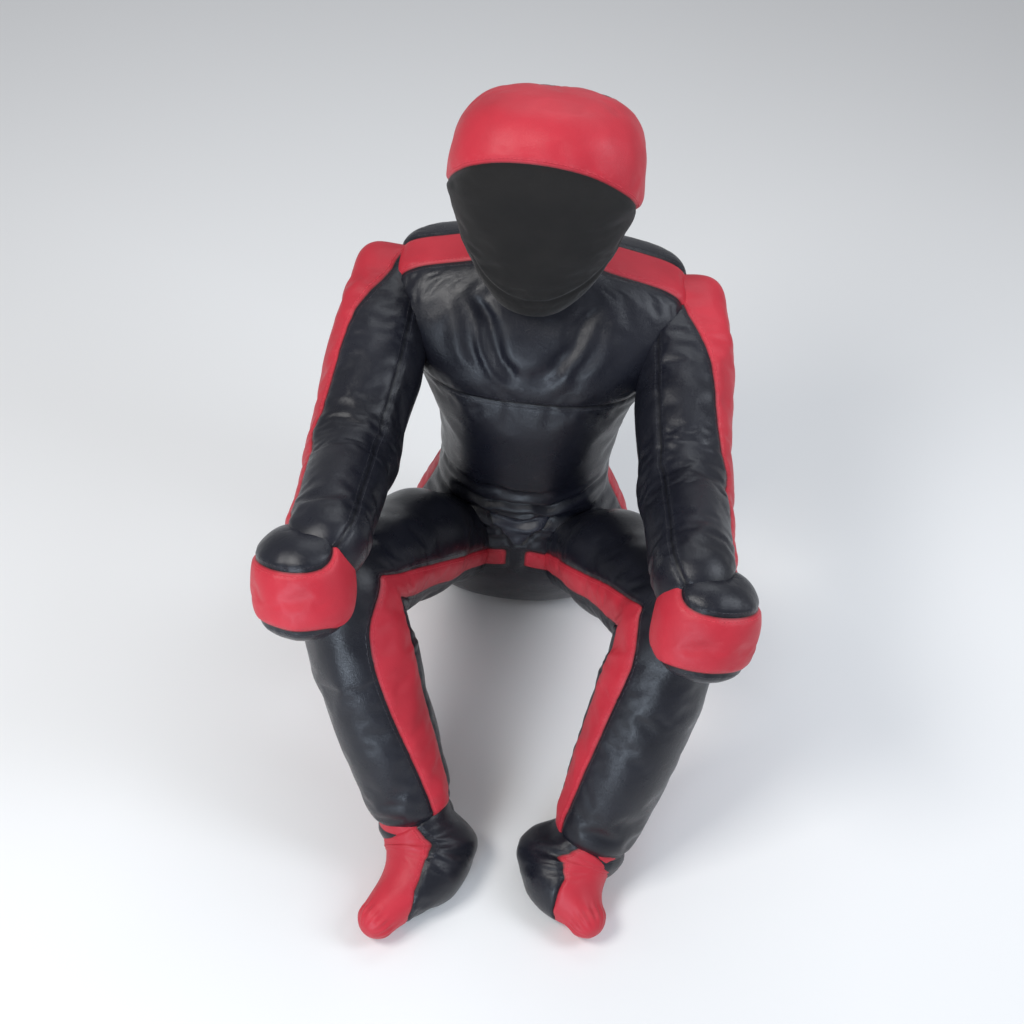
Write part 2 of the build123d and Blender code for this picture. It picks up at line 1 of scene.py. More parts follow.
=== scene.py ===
import bpy
import bmesh
import json
import math
import numpy as np
from mathutils import Matrix, Vector, noise
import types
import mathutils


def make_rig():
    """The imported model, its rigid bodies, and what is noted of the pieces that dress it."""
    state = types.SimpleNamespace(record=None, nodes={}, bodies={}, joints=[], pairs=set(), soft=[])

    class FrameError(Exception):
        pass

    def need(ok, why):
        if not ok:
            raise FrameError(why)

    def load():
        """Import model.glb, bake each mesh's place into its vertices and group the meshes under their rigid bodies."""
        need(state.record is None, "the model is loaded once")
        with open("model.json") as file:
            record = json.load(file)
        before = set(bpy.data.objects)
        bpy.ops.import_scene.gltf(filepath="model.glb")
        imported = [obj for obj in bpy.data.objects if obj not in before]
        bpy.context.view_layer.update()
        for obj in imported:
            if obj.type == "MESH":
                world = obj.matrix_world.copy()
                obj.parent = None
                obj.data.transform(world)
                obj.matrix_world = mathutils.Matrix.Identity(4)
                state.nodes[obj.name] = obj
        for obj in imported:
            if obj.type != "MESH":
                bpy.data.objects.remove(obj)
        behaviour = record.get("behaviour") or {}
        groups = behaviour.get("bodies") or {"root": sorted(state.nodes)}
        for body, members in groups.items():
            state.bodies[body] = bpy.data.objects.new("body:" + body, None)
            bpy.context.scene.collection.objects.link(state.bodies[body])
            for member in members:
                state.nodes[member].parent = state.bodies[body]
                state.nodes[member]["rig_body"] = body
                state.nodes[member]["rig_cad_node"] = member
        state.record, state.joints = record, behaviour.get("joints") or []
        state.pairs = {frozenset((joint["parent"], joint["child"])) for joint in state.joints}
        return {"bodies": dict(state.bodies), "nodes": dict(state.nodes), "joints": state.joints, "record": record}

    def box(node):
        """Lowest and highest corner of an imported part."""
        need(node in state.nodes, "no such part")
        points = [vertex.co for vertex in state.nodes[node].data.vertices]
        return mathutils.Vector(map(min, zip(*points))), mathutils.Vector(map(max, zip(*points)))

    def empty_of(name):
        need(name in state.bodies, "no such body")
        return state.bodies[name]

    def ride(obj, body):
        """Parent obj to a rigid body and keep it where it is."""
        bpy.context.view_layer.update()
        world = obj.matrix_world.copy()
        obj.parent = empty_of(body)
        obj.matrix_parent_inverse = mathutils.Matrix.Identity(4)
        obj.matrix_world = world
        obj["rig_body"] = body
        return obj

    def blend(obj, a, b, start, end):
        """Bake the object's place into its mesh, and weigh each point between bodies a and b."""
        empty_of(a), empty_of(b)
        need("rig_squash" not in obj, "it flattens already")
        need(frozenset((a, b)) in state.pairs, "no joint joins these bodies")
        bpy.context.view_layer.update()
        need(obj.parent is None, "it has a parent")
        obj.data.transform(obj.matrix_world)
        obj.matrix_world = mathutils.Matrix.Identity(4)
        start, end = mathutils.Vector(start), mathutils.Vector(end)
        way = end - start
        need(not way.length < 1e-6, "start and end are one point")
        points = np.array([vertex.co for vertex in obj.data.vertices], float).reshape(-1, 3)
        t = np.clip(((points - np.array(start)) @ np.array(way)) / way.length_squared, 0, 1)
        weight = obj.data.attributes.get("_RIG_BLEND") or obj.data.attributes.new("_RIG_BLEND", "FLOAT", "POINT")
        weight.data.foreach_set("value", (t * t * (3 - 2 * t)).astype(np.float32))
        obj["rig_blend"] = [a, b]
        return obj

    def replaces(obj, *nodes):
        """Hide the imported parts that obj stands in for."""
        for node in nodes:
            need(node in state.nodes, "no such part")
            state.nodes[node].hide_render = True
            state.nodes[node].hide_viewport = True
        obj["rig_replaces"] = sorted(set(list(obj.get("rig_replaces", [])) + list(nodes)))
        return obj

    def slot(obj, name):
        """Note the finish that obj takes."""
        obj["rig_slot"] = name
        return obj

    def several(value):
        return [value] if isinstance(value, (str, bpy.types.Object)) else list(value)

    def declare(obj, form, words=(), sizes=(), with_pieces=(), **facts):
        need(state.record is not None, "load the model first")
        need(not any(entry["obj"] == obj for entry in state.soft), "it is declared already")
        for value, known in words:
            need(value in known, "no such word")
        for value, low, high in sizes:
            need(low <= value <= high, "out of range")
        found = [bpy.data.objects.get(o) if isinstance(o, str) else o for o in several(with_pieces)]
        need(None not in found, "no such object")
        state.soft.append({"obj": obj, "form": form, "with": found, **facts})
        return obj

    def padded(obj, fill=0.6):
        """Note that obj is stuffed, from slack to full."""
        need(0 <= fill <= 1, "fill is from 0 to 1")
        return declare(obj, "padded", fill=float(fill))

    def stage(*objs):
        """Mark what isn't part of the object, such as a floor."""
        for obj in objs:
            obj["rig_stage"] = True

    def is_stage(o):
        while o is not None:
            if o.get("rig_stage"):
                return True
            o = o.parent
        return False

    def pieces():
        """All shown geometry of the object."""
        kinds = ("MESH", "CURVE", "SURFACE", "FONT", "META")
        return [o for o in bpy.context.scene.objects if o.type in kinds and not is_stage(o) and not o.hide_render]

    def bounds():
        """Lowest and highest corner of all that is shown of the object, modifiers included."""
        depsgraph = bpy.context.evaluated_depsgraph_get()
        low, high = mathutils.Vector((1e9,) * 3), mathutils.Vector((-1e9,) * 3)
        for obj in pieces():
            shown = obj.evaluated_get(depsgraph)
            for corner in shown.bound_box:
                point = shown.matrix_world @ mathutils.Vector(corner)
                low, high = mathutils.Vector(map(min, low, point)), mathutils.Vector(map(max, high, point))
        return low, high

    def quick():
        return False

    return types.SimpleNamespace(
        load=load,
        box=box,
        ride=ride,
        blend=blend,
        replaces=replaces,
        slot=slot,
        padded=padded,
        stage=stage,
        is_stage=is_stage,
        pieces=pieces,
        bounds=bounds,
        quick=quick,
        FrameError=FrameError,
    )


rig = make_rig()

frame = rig.load()
CAD_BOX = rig.bounds()
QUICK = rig.quick()
joints = {j["name"]: j for j in frame["joints"]}
SIDES = (("right", -1.0), ("left", 1.0))


def unit(v):
    v = np.asarray(v, float)
    return v / np.linalg.norm(v)


def at(name):
    return np.array(joints[name]["pos_m"], float)


def hinge(name):
    return unit(joints[name]["axis"])


def rot(v, axis, ang):
    """Rodrigues: v turned about axis by ang radians; ang may be an array."""
    v, axis = np.asarray(v, float), unit(axis)
    ang = np.asarray(ang, float)[..., None]
    return v * np.cos(ang) + np.cross(axis, v) * np.sin(ang) + axis * (v @ axis) * (1 - np.cos(ang))


def smoothstep(a, b, x):
    t = np.clip((x - a) / (b - a), 0, 1)
    return t * t * (3 - 2 * t)


def bump(x, centre, width):
    return np.exp(-(((x - centre) / width) ** 2))


def smin(a, b, k):
    h = np.clip(0.5 + 0.5 * (b - a) / k, 0, 1)
    return b * (1 - h) + a * h - k * h * (1 - h)


def nz(points, scale, seed=0.0):
    """Perlin noise, -1..1, at points (n, 3) times scale."""
    q = np.asarray(points, float) * scale + seed
    return np.array([noise.noise(Vector(p)) for p in q])


def ridged(points, scale, seed=0.0):
    return 1 - 2 * np.abs(nz(points, scale, seed))


# --------------------------------------------------------------------------
# Lofted skins: a grid of rings whose points are found on an implicit surface
# --------------------------------------------------------------------------
def limb_sdf(a, b, table):
    """Distance to a tapered stuffed length from a to b; table is (distance along, radius)."""
    a, b = np.asarray(a, float), np.asarray(b, float)
    d = b - a
    L = np.linalg.norm(d)
    d = d / L
    ts, rs = np.array(table, float).T

    def f(p):
        t = (p - a) @ d
        c = np.clip(t, 0, L)
        return np.linalg.norm(p - a - c[..., None] * d, axis=-1) - np.interp(c, ts, rs)

    return f


def shoot(centres, dirs, sdf, steps=70, reach=0.25):
    """Distance from each centre along each direction to the surface."""
    t = np.full(dirs.shape[:2], 0.002)
    for _ in range(steps):
        p = centres[:, None, :] + dirs * t[..., None]
        t = np.clip(t - sdf(p) * 0.8, 0.0005, reach)
    return t


def jointed_rings(p0, p1, p2, hinge_axis, fan, start, stop, step, sdf, m, sharp_ends=(0.03, 0.03)):
    """Rings along p0-p1-p2, turning in a fan about a line inside the bend at p1."""
    u, v = unit(p1 - p0), unit(p2 - p1)
    h = unit(np.cross(u, v))
    beta = math.acos(np.clip(u @ v, -1, 1))
    b = unit(v - u)
    gamma = (math.pi - beta) / 2
    L1, L2 = np.linalg.norm(p1 - p0), np.linalg.norm(p2 - p1)
    off, drop = fan * math.cos(gamma), fan * math.sin(gamma)
    F = p1 + b * fan
    e0 = -unit(b - u * (b @ u))
    C, N, E1, S, PHI = [], [], [], [], []

    def spaced(lo, hi, step, dense_lo=0.0, dense_hi=0.0):
        xs, x = [lo], lo
        while x < hi:
            k = 1.0
            if dense_lo:
                k = min(k, 0.22 + (x - lo) / dense_lo * 0.78)
            if dense_hi:
                k = min(k, 0.22 + (hi - x) / dense_hi * 0.78)
            x += step * max(k, 0.2)
            xs.append(min(x, hi))
        return xs

    for s in spaced(start, L1 - off, step, dense_lo=sharp_ends[0]):
        C.append(p0 + u * s); N.append(u); E1.append(e0); S.append(s); PHI.append(0.0)
    n_fan = max(6, int(round(beta * (drop + 0.055) / step)))
    for i in range(1, n_fan):
        ph = beta * i / n_fan
        e = rot(e0, h, ph)
        rho = drop / math.cos(min(ph, beta - ph))
        C.append(F + e * rho); N.append(rot(u, h, ph)); E1.append(e)
        S.append(L1 + (-1 if ph < beta / 2 else 1) * drop * abs(math.tan(beta / 2) - math.tan(min(ph, beta - ph))))
        PHI.append(ph)
    e_end = rot(e0, h, beta)
    tail = [L2 + stop - x for x in spaced(0, L2 + stop - off, step, dense_lo=sharp_ends[1])][::-1]
    for s in tail:
        C.append(p1 + v * s); N.append(v); E1.append(e_end); S.append(L1 + s); PHI.append(beta)
    C, N, E1 = np.array(C), np.array(N), np.array(E1)
    th = np.linspace(0, 2 * math.pi, m, endpoint=False)
    E2 = np.cross(N, E1)
    D = E1[:, None, :] * np.cos(th)[None, :, None] + E2[:, None, :] * np.sin(th)[None, :, None]
    t = shoot(C, D, sdf)
    P = C[:, None, :] + D * t[..., None]
    return dict(P=P, C=C, N=N, D=D, t=t, s=np.array(S), th=th, phi=np.array(PHI), L1=L1, L2=L2, u=u, v=v, h=h, beta=beta)


def grid_mesh(name, P, pole0, pole1):
    """Closed quad mesh from rings P (n, m, 3) with a pole point at each end."""
    n, m = P.shape[:2]
    verts = np.concatenate([P.reshape(-1, 3), [pole0], [pole1]])
    i = np.arange(n - 1)[:, None] * m
    j = np.arange(m)[None, :]
    k = (j + 1) % m
    quads = np.stack([i + j, i + k, i + m + k, i + m + j], -1).reshape(-1, 4)
    faces = [tuple(q) for q in quads.tolist()]
    a, b = n * m, n * m + 1
    faces += [(a, int(k_), int(j_)) for j_, k_ in zip(j[0], k[0])]
    base = (n - 1) * m
    faces += [(b, base + int(j_), base + int(k_)) for j_, k_ in zip(j[0], k[0])]
    me = bpy.data.meshes.new(name)
    me.from_pydata(verts.tolist(), [], faces)
    me.update()
    return me


def coords(me):
    co = np.empty(len(me.vertices) * 3)
    me.vertices.foreach_get("co", co)
    return co.reshape(-1, 3)


def normals(me):
    me.update()
    no = np.empty(len(me.vertices) * 3, np.float32)
    me.vertex_normals.foreach_get("vector", no)
    return no.reshape(-1, 3).astype(float)


def set_coords(me, co):
    me.vertices.foreach_set("co", np.asarray(co, float).reshape(-1))
    me.update()


def add_float(me, name, values):
    a = me.attributes.get(name) or me.attributes.new(name, "FLOAT", "POINT")
    a.data.foreach_set("value", np.asarray(values, np.float32))


def get_float(me, name):
    v = np.empty(len(me.vertices), np.float32)
    me.attributes[name].data.foreach_get("value", v)
    return v.astype(float)


def link(me, name):
    o = bpy.data.objects.new(name, me)
    bpy.context.scene.collection.objects.link(o)
    return o


def stuffed(me, pin, pressure=3.0, shrink=-0.012, frames=14, cap=0.007, bend=1.2, tension=25, seed_push=0.0006):
    """Cloth pass: the cover is blown up by its stuffing and held at its seams."""
    if QUICK:
        return
    before = coords(me)
    no = normals(me)
    set_coords(me, before + no * (nz(before, 26.0, 3.1) * seed_push)[:, None])
    o = link(me, "sim")
    g = o.vertex_groups.new(name="pin")
    pin = np.clip(pin, 0, 1)
    levels = np.round(pin * 12).astype(int)
    for lv in range(1, 13):
        idx = np.nonzero(levels == lv)[0].tolist()
        if idx:
            g.add(idx, lv / 12, "REPLACE")
    mod = o.modifiers.new("Cloth", "CLOTH")
    st = mod.settings
    st.quality = 4
    st.mass = 0.35
    st.tension_stiffness = st.compression_stiffness = tension
    st.shear_stiffness = tension * 0.4
    st.bending_stiffness = bend
    st.tension_damping = st.compression_damping = st.shear_damping = 6
    st.bending_damping = 1.0
    st.air_damping = 2.0
    st.use_pressure = True
    st.uniform_pressure_force = pressure
    st.shrink_min = shrink
    st.vertex_group_mass = "pin"
    st.pin_stiffness = 4.0
    st.effector_weights.gravity = 0.0
    mod.collision_settings.use_collision = False
    mod.collision_settings.use_self_collision = False
    mod.point_cache.frame_start = 1
    mod.point_cache.frame_end = frames
    scene = bpy.context.scene
    for f in range(1, frames + 1):
        scene.frame_set(f)
    dg = bpy.context.evaluated_depsgraph_get()
    got = o.evaluated_get(dg)
    after = np.empty(len(me.vertices) * 3)
    got.data.vertices.foreach_get("co", after)
    after = after.reshape(-1, 3)
    scene.frame_set(1)
    bpy.data.objects.remove(o)
    move = after - before
    size = np.linalg.norm(move, axis=1, keepdims=True)
    ok = np.isfinite(size)
    size = np.where(ok, size, 0)
    move = np.where(ok, move, 0)
    keep = np.where(size > 1e-9, cap * np.tanh(size / cap) / np.maximum(size, 1e-9), 0)
    set_coords(me, before + move * keep)


def subdivide(me, levels=1):
    """Catmull-Clark, with the float attributes carried over."""
    if levels < 1:
        return me
    o = link(me, "sub")
    mod = o.modifiers.new("s", "SUBSURF")
    mod.levels = mod.render_levels = levels
    mod.use_limit_surface = False
    dg = bpy.context.evaluated_depsgraph_get()
    new = bpy.data.meshes.new_from_object(o.evaluated_get(dg), preserve_all_data_layers=True, depsgraph=dg)
    bpy.data.objects.remove(o)
    return new


def cut(me, fields):
    """Splits faces along the zero line of each named point attribute."""
    bm = bmesh.new()
    bm.from_mesh(me)
    layers = {n: bm.verts.layers.float[n] for n in [a.name for a in me.attributes if a.data_type == "FLOAT" and a.domain == "POINT"]}
    every = list(layers.values())
    for name in fields:
        ly = layers[name]
        bm.verts.ensure_lookup_table()
        for v in bm.verts:
            if abs(v[ly]) < 1e-5:
                v[ly] = 0.0
        crossing = [e for e in bm.edges if e.verts[0][ly] * e.verts[1][ly] < 0]
        on_line = set()
        for e in crossing:
            a, b = e.verts
            fa, fb = a[ly], b[ly]
            if fa * fb >= 0:
                continue
            fac = fa / (fa - fb)
            if fac < 0.12:
                a[ly] = 0.0
                on_line.add(a)
                continue
            if fac > 0.88:
                b[ly] = 0.0
                on_line.add(b)
        for e in crossing:
            a, b = e.verts
            fa, fb = a[ly], b[ly]
            if fa * fb >= 0:
                continue
            fac = fa / (fa - fb)
            vals = [a[l] * (1 - fac) + b[l] * fac for l in every]
            e2, nv = bmesh.utils.edge_split(e, a, fac)
            for l, x in zip(every, vals):
                nv[l] = x
            nv[ly] = 0.0
            on_line.add(nv)
        on_line |= {v for v in bm.verts if v[ly] == 0.0}
        todo = []
        for f in {f for v in on_line for f in v.link_faces}:
            marked = [v for v in f.verts if v in on_line]
            vals = [v[ly] for v in f.verts]
            if len(marked) >= 2 and min(vals) < 0 < max(vals):
                todo.append((f, marked))
        for f, marked in todo:
            pair = None
            if len(marked) == 2:
                pair = marked
            else:
                best = -1
                for i in range(len(marked)):
                    for j in range(i + 1, len(marked)):
                        dd = (marked[i].co - marked[j].co).length
                        if dd > best:
                            best, pair = dd, (marked[i], marked[j])
            va, vb = pair
            if any(vb in e.verts for e in va.link_edges):
                continue
            try:
                bmesh.utils.face_split(f, va, vb)
            except ValueError:
                pass
    out = bpy.data.meshes.new(me.name)
    bm.to_mesh(out)
    bm.free()
    return out


def tidy_labels(polys, labels, small=360):
    """Give each small island of a label to the panel that surrounds it."""
    labels = np.array(labels)
    open_edges, pairs = {}, []
    for i, f in enumerate(polys):
        for a, b in zip(f, f[1:] + f[:1]):
            j = open_edges.pop((b, a), None)
            if j is None:
                open_edges[(a, b)] = i
            else:
                pairs.append((i, j))
    tris = np.array([len(f) - 2 for f in polys])
    for _ in range(2):
        root = list(range(len(polys)))

        def find(x):
            while root[x] != x:
                root[x] = root[root[x]]
                x = root[x]
            return x

        same = [labels[i] == labels[j] for i, j in pairs]
        for (i, j), eq in zip(pairs, same):
            if eq:
                a, b = find(i), find(j)
                if a != b:
                    root[max(a, b)] = min(a, b)
        comp = np.array([find(i) for i in range(len(polys))])
        size = np.bincount(comp, weights=tris, minlength=len(polys))
        votes = {}
        for (i, j), eq in zip(pairs, same):
            if eq:
                continue
            for p, q in ((i, j), (j, i)):
                if size[comp[p]] < small and size[comp[q]] > size[comp[p]]:
                    v = votes.setdefault(int(comp[p]), {})
                    v[str(labels[q])] = v.get(str(labels[q]), 0) + 1
        if not votes:
            break
        for c in sorted(votes):
            labels[comp == c] = sorted(votes[c].items(), key=lambda kv: (-kv[1], kv[0]))[0][0]
    return labels


def pieces_from(me, labels):
    """One mesh for each label of the faces, keeping the point attributes."""
    out = {}
    co = coords(me)
    floats = {a.name: get_float(me, a.name) for a in me.attributes if a.data_type == "FLOAT" and a.domain == "POINT"}
    polys = [tuple(p.vertices) for p in me.polygons]
    labels = tidy_labels(polys, labels)
    for lab in sorted(set(labels)):
        faces = [polys[i] for i in range(len(polys)) if labels[i] == lab]
        used = np.unique(np.concatenate([np.array(f) for f in faces]))
        remap = np.full(len(co), -1)
        remap[used] = np.arange(len(used))
        new = bpy.data.meshes.new(str(lab))
        new.from_pydata(co[used].tolist(), [], [tuple(int(remap[i]) for i in f) for f in faces])
        new.update()
        for n, v in floats.items():
            add_float(new, n, v[used])
        out[lab] = new
    return out


def face_mean(me, values):
    return np.array([values[list(p.vertices)].mean() for p in me.polygons])


def finish_surface(me, seam_fields, along, groove=0.0023, width=0.0042, pucker=0.0011, grain_seed=0.0):
    """Seam distance and length attributes, the sewn groove and its puckers."""
    co = coords(me)
    no = normals(me)
    vals = [np.abs(get_float(me, n)) for n in seam_fields]
    sd = np.min(np.stack(vals), 0) if vals else np.full(len(co), 0.1)
    sl = get_float(me, along)
    move = -groove * np.exp(-((sd / width) ** 2))
    wave = nz(np.stack([sl, co[:, 0] * 0.3, co[:, 2] * 0.3], 1), 62.0, grain_seed + 9.0)
    move += pucker * wave * np.exp(-((sd / 0.016) ** 2)) * (1 - np.exp(-((sd / 0.003) ** 2)))
    set_coords(me, co + no * move[:, None])
    add_float(me, "sd", sd)


# --------------------------------------------------------------------------
# Materials
# --------------------------------------------------------------------------
def nodes_of(name):
    m = bpy.data.materials.new(name)
    m.use_nodes = True
    nt = m.node_tree
    nt.nodes.clear()
    return m, nt, nt.nodes, nt.links


def leather(name, colour, dark, pale, rough=0.42, sheen=0.0, grain=1.0, coat=0.12, crinkle=0.16, shine=0.5):
    m, nt, N, L = nodes_of(name)
    out = N.new("ShaderNodeOutputMaterial")
    bs = N.new("ShaderNodeBsdfPrincipled")
    L.new(bs.outputs["BSDF"], out.inputs["Surface"])
    rest = N.new("ShaderNodeAttribute"); rest.attribute_name = "rest"
    sd = N.new("ShaderNodeAttribute"); sd.attribute_name = "sd"
    sl = N.new("ShaderNodeAttribute"); sl.attribute_name = "along"

    def tex(kind, scale, **kw):
        t = N.new(kind)
        t.inputs["Scale"].default_value = scale
        for k, v in kw.items():
            if k in t.inputs:
                t.inputs[k].default_value = v
        L.new(rest.outputs["Vector"], t.inputs["Vector"])
        return t

    def math_(op, a, b=None, c=None, clamp=False):
        n = N.new("ShaderNodeMath"); n.operation = op; n.use_clamp = clamp
        for i, x in enumerate((a, b, c)):
            if x is None:
                continue
            if hasattr(x, "is_linked"):
                L.new(x, n.inputs[i])
            else:
                n.inputs[i].default_value = x
        return n.outputs[0]

    def ramp(x, lo, hi):
        n = N.new("ShaderNodeMapRange"); n.clamp = True
        n.inputs["From Min"].default_value = lo; n.inputs["From Max"].default_value = hi
        L.new(x, n.inputs["Value"])
        return n.outputs["Result"]

    cells = tex("ShaderNodeTexVoronoi", 620.0)
    cells.feature = "DISTANCE_TO_EDGE"
    cells2 = tex("ShaderNodeTexVoronoi", 1150.0)
    fine = tex("ShaderNodeTexNoise", 900.0, Detail=3.0, Roughness=0.6)
    broad = tex("ShaderNodeTexNoise", 9.0, Detail=5.0, Roughness=0.55)
    patch = tex("ShaderNodeTexNoise", 34.0, Detail=4.0, Roughness=0.6)
    crease = tex("ShaderNodeTexNoise", 55.0, Detail=6.0, Roughness=0.62, Distortion=1.4)
    scuff = tex("ShaderNodeTexNoise", 150.0, Detail=6.0, Roughness=0.7)
    # colour: slow variation, darker in the seam, paler worn edges beside it
    mix1 = N.new("ShaderNodeMix"); mix1.data_type = "RGBA"
    mix1.inputs["A"].default_value = (*dark, 1); mix1.inputs["B"].default_value = (*colour, 1)
    L.new(ramp(broad.outputs["Fac"], 0.30, 0.62), mix1.inputs["Factor"])
    near = math_("SUBTRACT", 1.0, ramp(sd.outputs["Fac"], 0.003, 0.016), clamp=True)
    worn = math_("MULTIPLY", near, ramp(scuff.outputs["Fac"], 0.52, 0.74), clamp=True)
    worn2 = math_("MULTIPLY", ramp(patch.outputs["Fac"], 0.60, 0.80), ramp(scuff.outputs["Fac"], 0.50, 0.70), clamp=True)
    wear = math_("MULTIPLY", math_("MAXIMUM", worn, worn2), 0.42)
    mix2 = N.new("ShaderNodeMix"); mix2.data_type = "RGBA"
    L.new(wear, mix2.inputs["Factor"])
    L.new(mix1.outputs["Result"], mix2.inputs["A"]); mix2.inputs["B"].default_value = (*pale, 1)
    seam = math_("SUBTRACT", 1.0, ramp(sd.outputs["Fac"], 0.0004, 0.0026), clamp=True)
    mix3 = N.new("ShaderNodeMix"); mix3.data_type = "RGBA"
    L.new(math_("MULTIPLY", seam, 0.75), mix3.inputs["Factor"])
    L.new(mix2.outputs["Result"], mix3.inputs["A"]); mix3.inputs["B"].default_value = (*[c * 0.22 for c in dark], 1)
    # stitches, 5 mm from the seam
    row = math_("SUBTRACT", 1.0, ramp(math_("ABSOLUTE", math_("SUBTRACT", sd.outputs["Fac"], 0.0050)), 0.00035, 0.00085), clamp=True)
    dash = math_("PINGPONG", math_("MULTIPLY", sl.outputs["Fac"], 1000.0 / 3.1), 1.0)
    stitch = math_("MULTIPLY", row, ramp(dash, 0.20, 0.42), clamp=True)
    mix4 = N.new("ShaderNodeMix"); mix4.data_type = "RGBA"
    L.new(math_("MULTIPLY", stitch, 0.6), mix4.inputs["Factor"])
    L.new(mix3.outputs["Result"], mix4.inputs["A"]); mix4.inputs["B"].default_value = (*[min(1, c * 1.25 + 0.012) for c in colour], 1)
    L.new(mix4.outputs["Result"], bs.inputs["Base Color"])
    # roughness
    r1 = math_("MULTIPLY_ADD", math_("SUBTRACT", patch.outputs["Fac"], 0.5), 0.30, rough)
    r2 = math_("MULTIPLY_ADD", math_("SUBTRACT", fine.outputs["Fac"], 0.5), 0.16, r1)
    r3 = math_("MULTIPLY_ADD", wear, 0.30, r2, clamp=True)
    L.new(r3, bs.inputs["Roughness"])
    # bump: grain cells, fine pores, soft creases, stitches
    pits = math_("MULTIPLY", ramp(cells.outputs["Distance"], 0.0, 0.22), 0.55 * grain)
    h1 = math_("MULTIPLY_ADD", fine.outputs["Fac"], 0.30 * grain, pits)
    b1 = N.new("ShaderNodeBump"); b1.inputs["Strength"].default_value = 0.32; b1.inputs["Distance"].default_value = 0.0004
    L.new(math_("MULTIPLY_ADD", ramp(cells2.outputs["Distance"], 0.0, 0.6), 0.18 * grain, h1), b1.inputs["Height"])
    cr = math_("ABSOLUTE", math_("SUBTRACT", crease.outputs["Fac"], 0.5))
    b2 = N.new("ShaderNodeBump"); b2.inputs["Strength"].default_value = crinkle; b2.inputs["Distance"].default_value = 0.0020
    L.new(math_("MULTIPLY_ADD", ramp(cr, 0.0, 0.16), 0.35, math_("MULTIPLY", broad.outputs["Fac"], 0.6)), b2.inputs["Height"])
    L.new(b1.outputs["Normal"], b2.inputs["Normal"])
    b3 = N.new("ShaderNodeBump"); b3.inputs["Strength"].default_value = 0.8; b3.inputs["Distance"].default_value = 0.0006
    L.new(stitch, b3.inputs["Height"]); L.new(b2.outputs["Normal"], b3.inputs["Normal"])
    L.new(b3.outputs["Normal"], bs.inputs["Normal"])
    bs.inputs["Specular IOR Level"].default_value = shine
    bs.inputs["Coat Weight"].default_value = coat
    bs.inputs["Coat Roughness"].default_value = 0.38
    if sheen:
        bs.inputs["Sheen Weight"].default_value = sheen
        bs.inputs["Sheen Roughness"].default_value = 0.5
    return m


def woven(name, colour, pale, rough=0.82):
    """Dull knitted-back fabric: fine warp and weft, fuzz and a few dusty patches."""
    m, nt, N, L = nodes_of(name)
    out = N.new("ShaderNodeOutputMaterial")
    bs = N.new("ShaderNodeBsdfPrincipled")
    L.new(bs.outputs["BSDF"], out.inputs["Surface"])
    rest = N.new("ShaderNodeAttribute"); rest.attribute_name = "rest"
    sd = N.new("ShaderNodeAttribute"); sd.attribute_name = "sd"
    waves = []
    for d in ("X", "Z"):
        w = N.new("ShaderNodeTexWave"); w.bands_direction = d
        w.inputs["Scale"].default_value = 260.0; w.inputs["Distortion"].default_value = 0.6
        L.new(rest.outputs["Vector"], w.inputs["Vector"])
        waves.append(w)
    mul = N.new("ShaderNodeMath"); mul.operation = "MULTIPLY"
    L.new(waves[0].outputs["Fac"], mul.inputs[0]); L.new(waves[1].outputs["Fac"], mul.inputs[1])
    n1 = N.new("ShaderNodeTexNoise"); n1.inputs["Scale"].default_value = 26.0; n1.inputs["Detail"].default_value = 6.0
    n2 = N.new("ShaderNodeTexNoise"); n2.inputs["Scale"].default_value = 1100.0; n2.inputs["Detail"].default_value = 2.0
    for n in (n1, n2):
        L.new(rest.outputs["Vector"], n.inputs["Vector"])
    rp = N.new("ShaderNodeMapRange"); rp.clamp = True
    rp.inputs["From Min"].default_value = 0.40; rp.inputs["From Max"].default_value = 0.75
    L.new(n1.outputs["Fac"], rp.inputs["Value"])
    mx = N.new("ShaderNodeMix"); mx.data_type = "RGBA"
    mx.inputs["A"].default_value = (*colour, 1); mx.inputs["B"].default_value = (*pale, 1)
    L.new(rp.outputs["Result"], mx.inputs["Factor"])
    mx2 = N.new("ShaderNodeMix"); mx2.data_type = "RGBA"
    mx2.inputs["B"].default_value = (*[c * 0.45 for c in colour], 1)
    sub = N.new("ShaderNodeMath"); sub.operation = "MULTIPLY"; sub.inputs[1].default_value = 0.5
    L.new(mul.outputs[0], sub.inputs[0]); L.new(sub.outputs[0], mx2.inputs["Factor"])
    L.new(mx.outputs["Result"], mx2.inputs["A"])
    L.new(mx2.outputs["Result"], bs.inputs["Base Color"])
    rr = N.new("ShaderNodeMath"); rr.operation = "MULTIPLY_ADD"
    rr.inputs[1].default_value = 0.2; rr.inputs[2].default_value = rough - 0.1
    L.new(n1.outputs["Fac"], rr.inputs[0]); L.new(rr.outputs[0], bs.inputs["Roughness"])
    ad = N.new("ShaderNodeMath"); ad.operation = "MULTIPLY_ADD"; ad.inputs[1].default_value = 0.5
    L.new(n2.outputs["Fac"], ad.inputs[0]); L.new(mul.outputs[0], ad.inputs[2])
    b = N.new("ShaderNodeBump"); b.inputs["Strength"].default_value = 0.4; b.inputs["Distance"].default_value = 0.0005
    L.new(ad.outputs[0], b.inputs["Height"])
    b2 = N.new("ShaderNodeBump"); b2.inputs["Strength"].default_value = 0.3; b2.inputs["Distance"].default_value = 0.003
    L.new(n1.outputs["Fac"], b2.inputs["Height"]); L.new(b.outputs["Normal"], b2.inputs["Normal"])
    L.new(b2.outputs["Normal"], bs.inputs["Normal"])
    bs.inputs["Sheen Weight"].default_value = 0.10
    bs.inputs["Sheen Roughness"].default_value = 0.45
    bs.inputs["Specular IOR Level"].default_value = 0.3
    return m


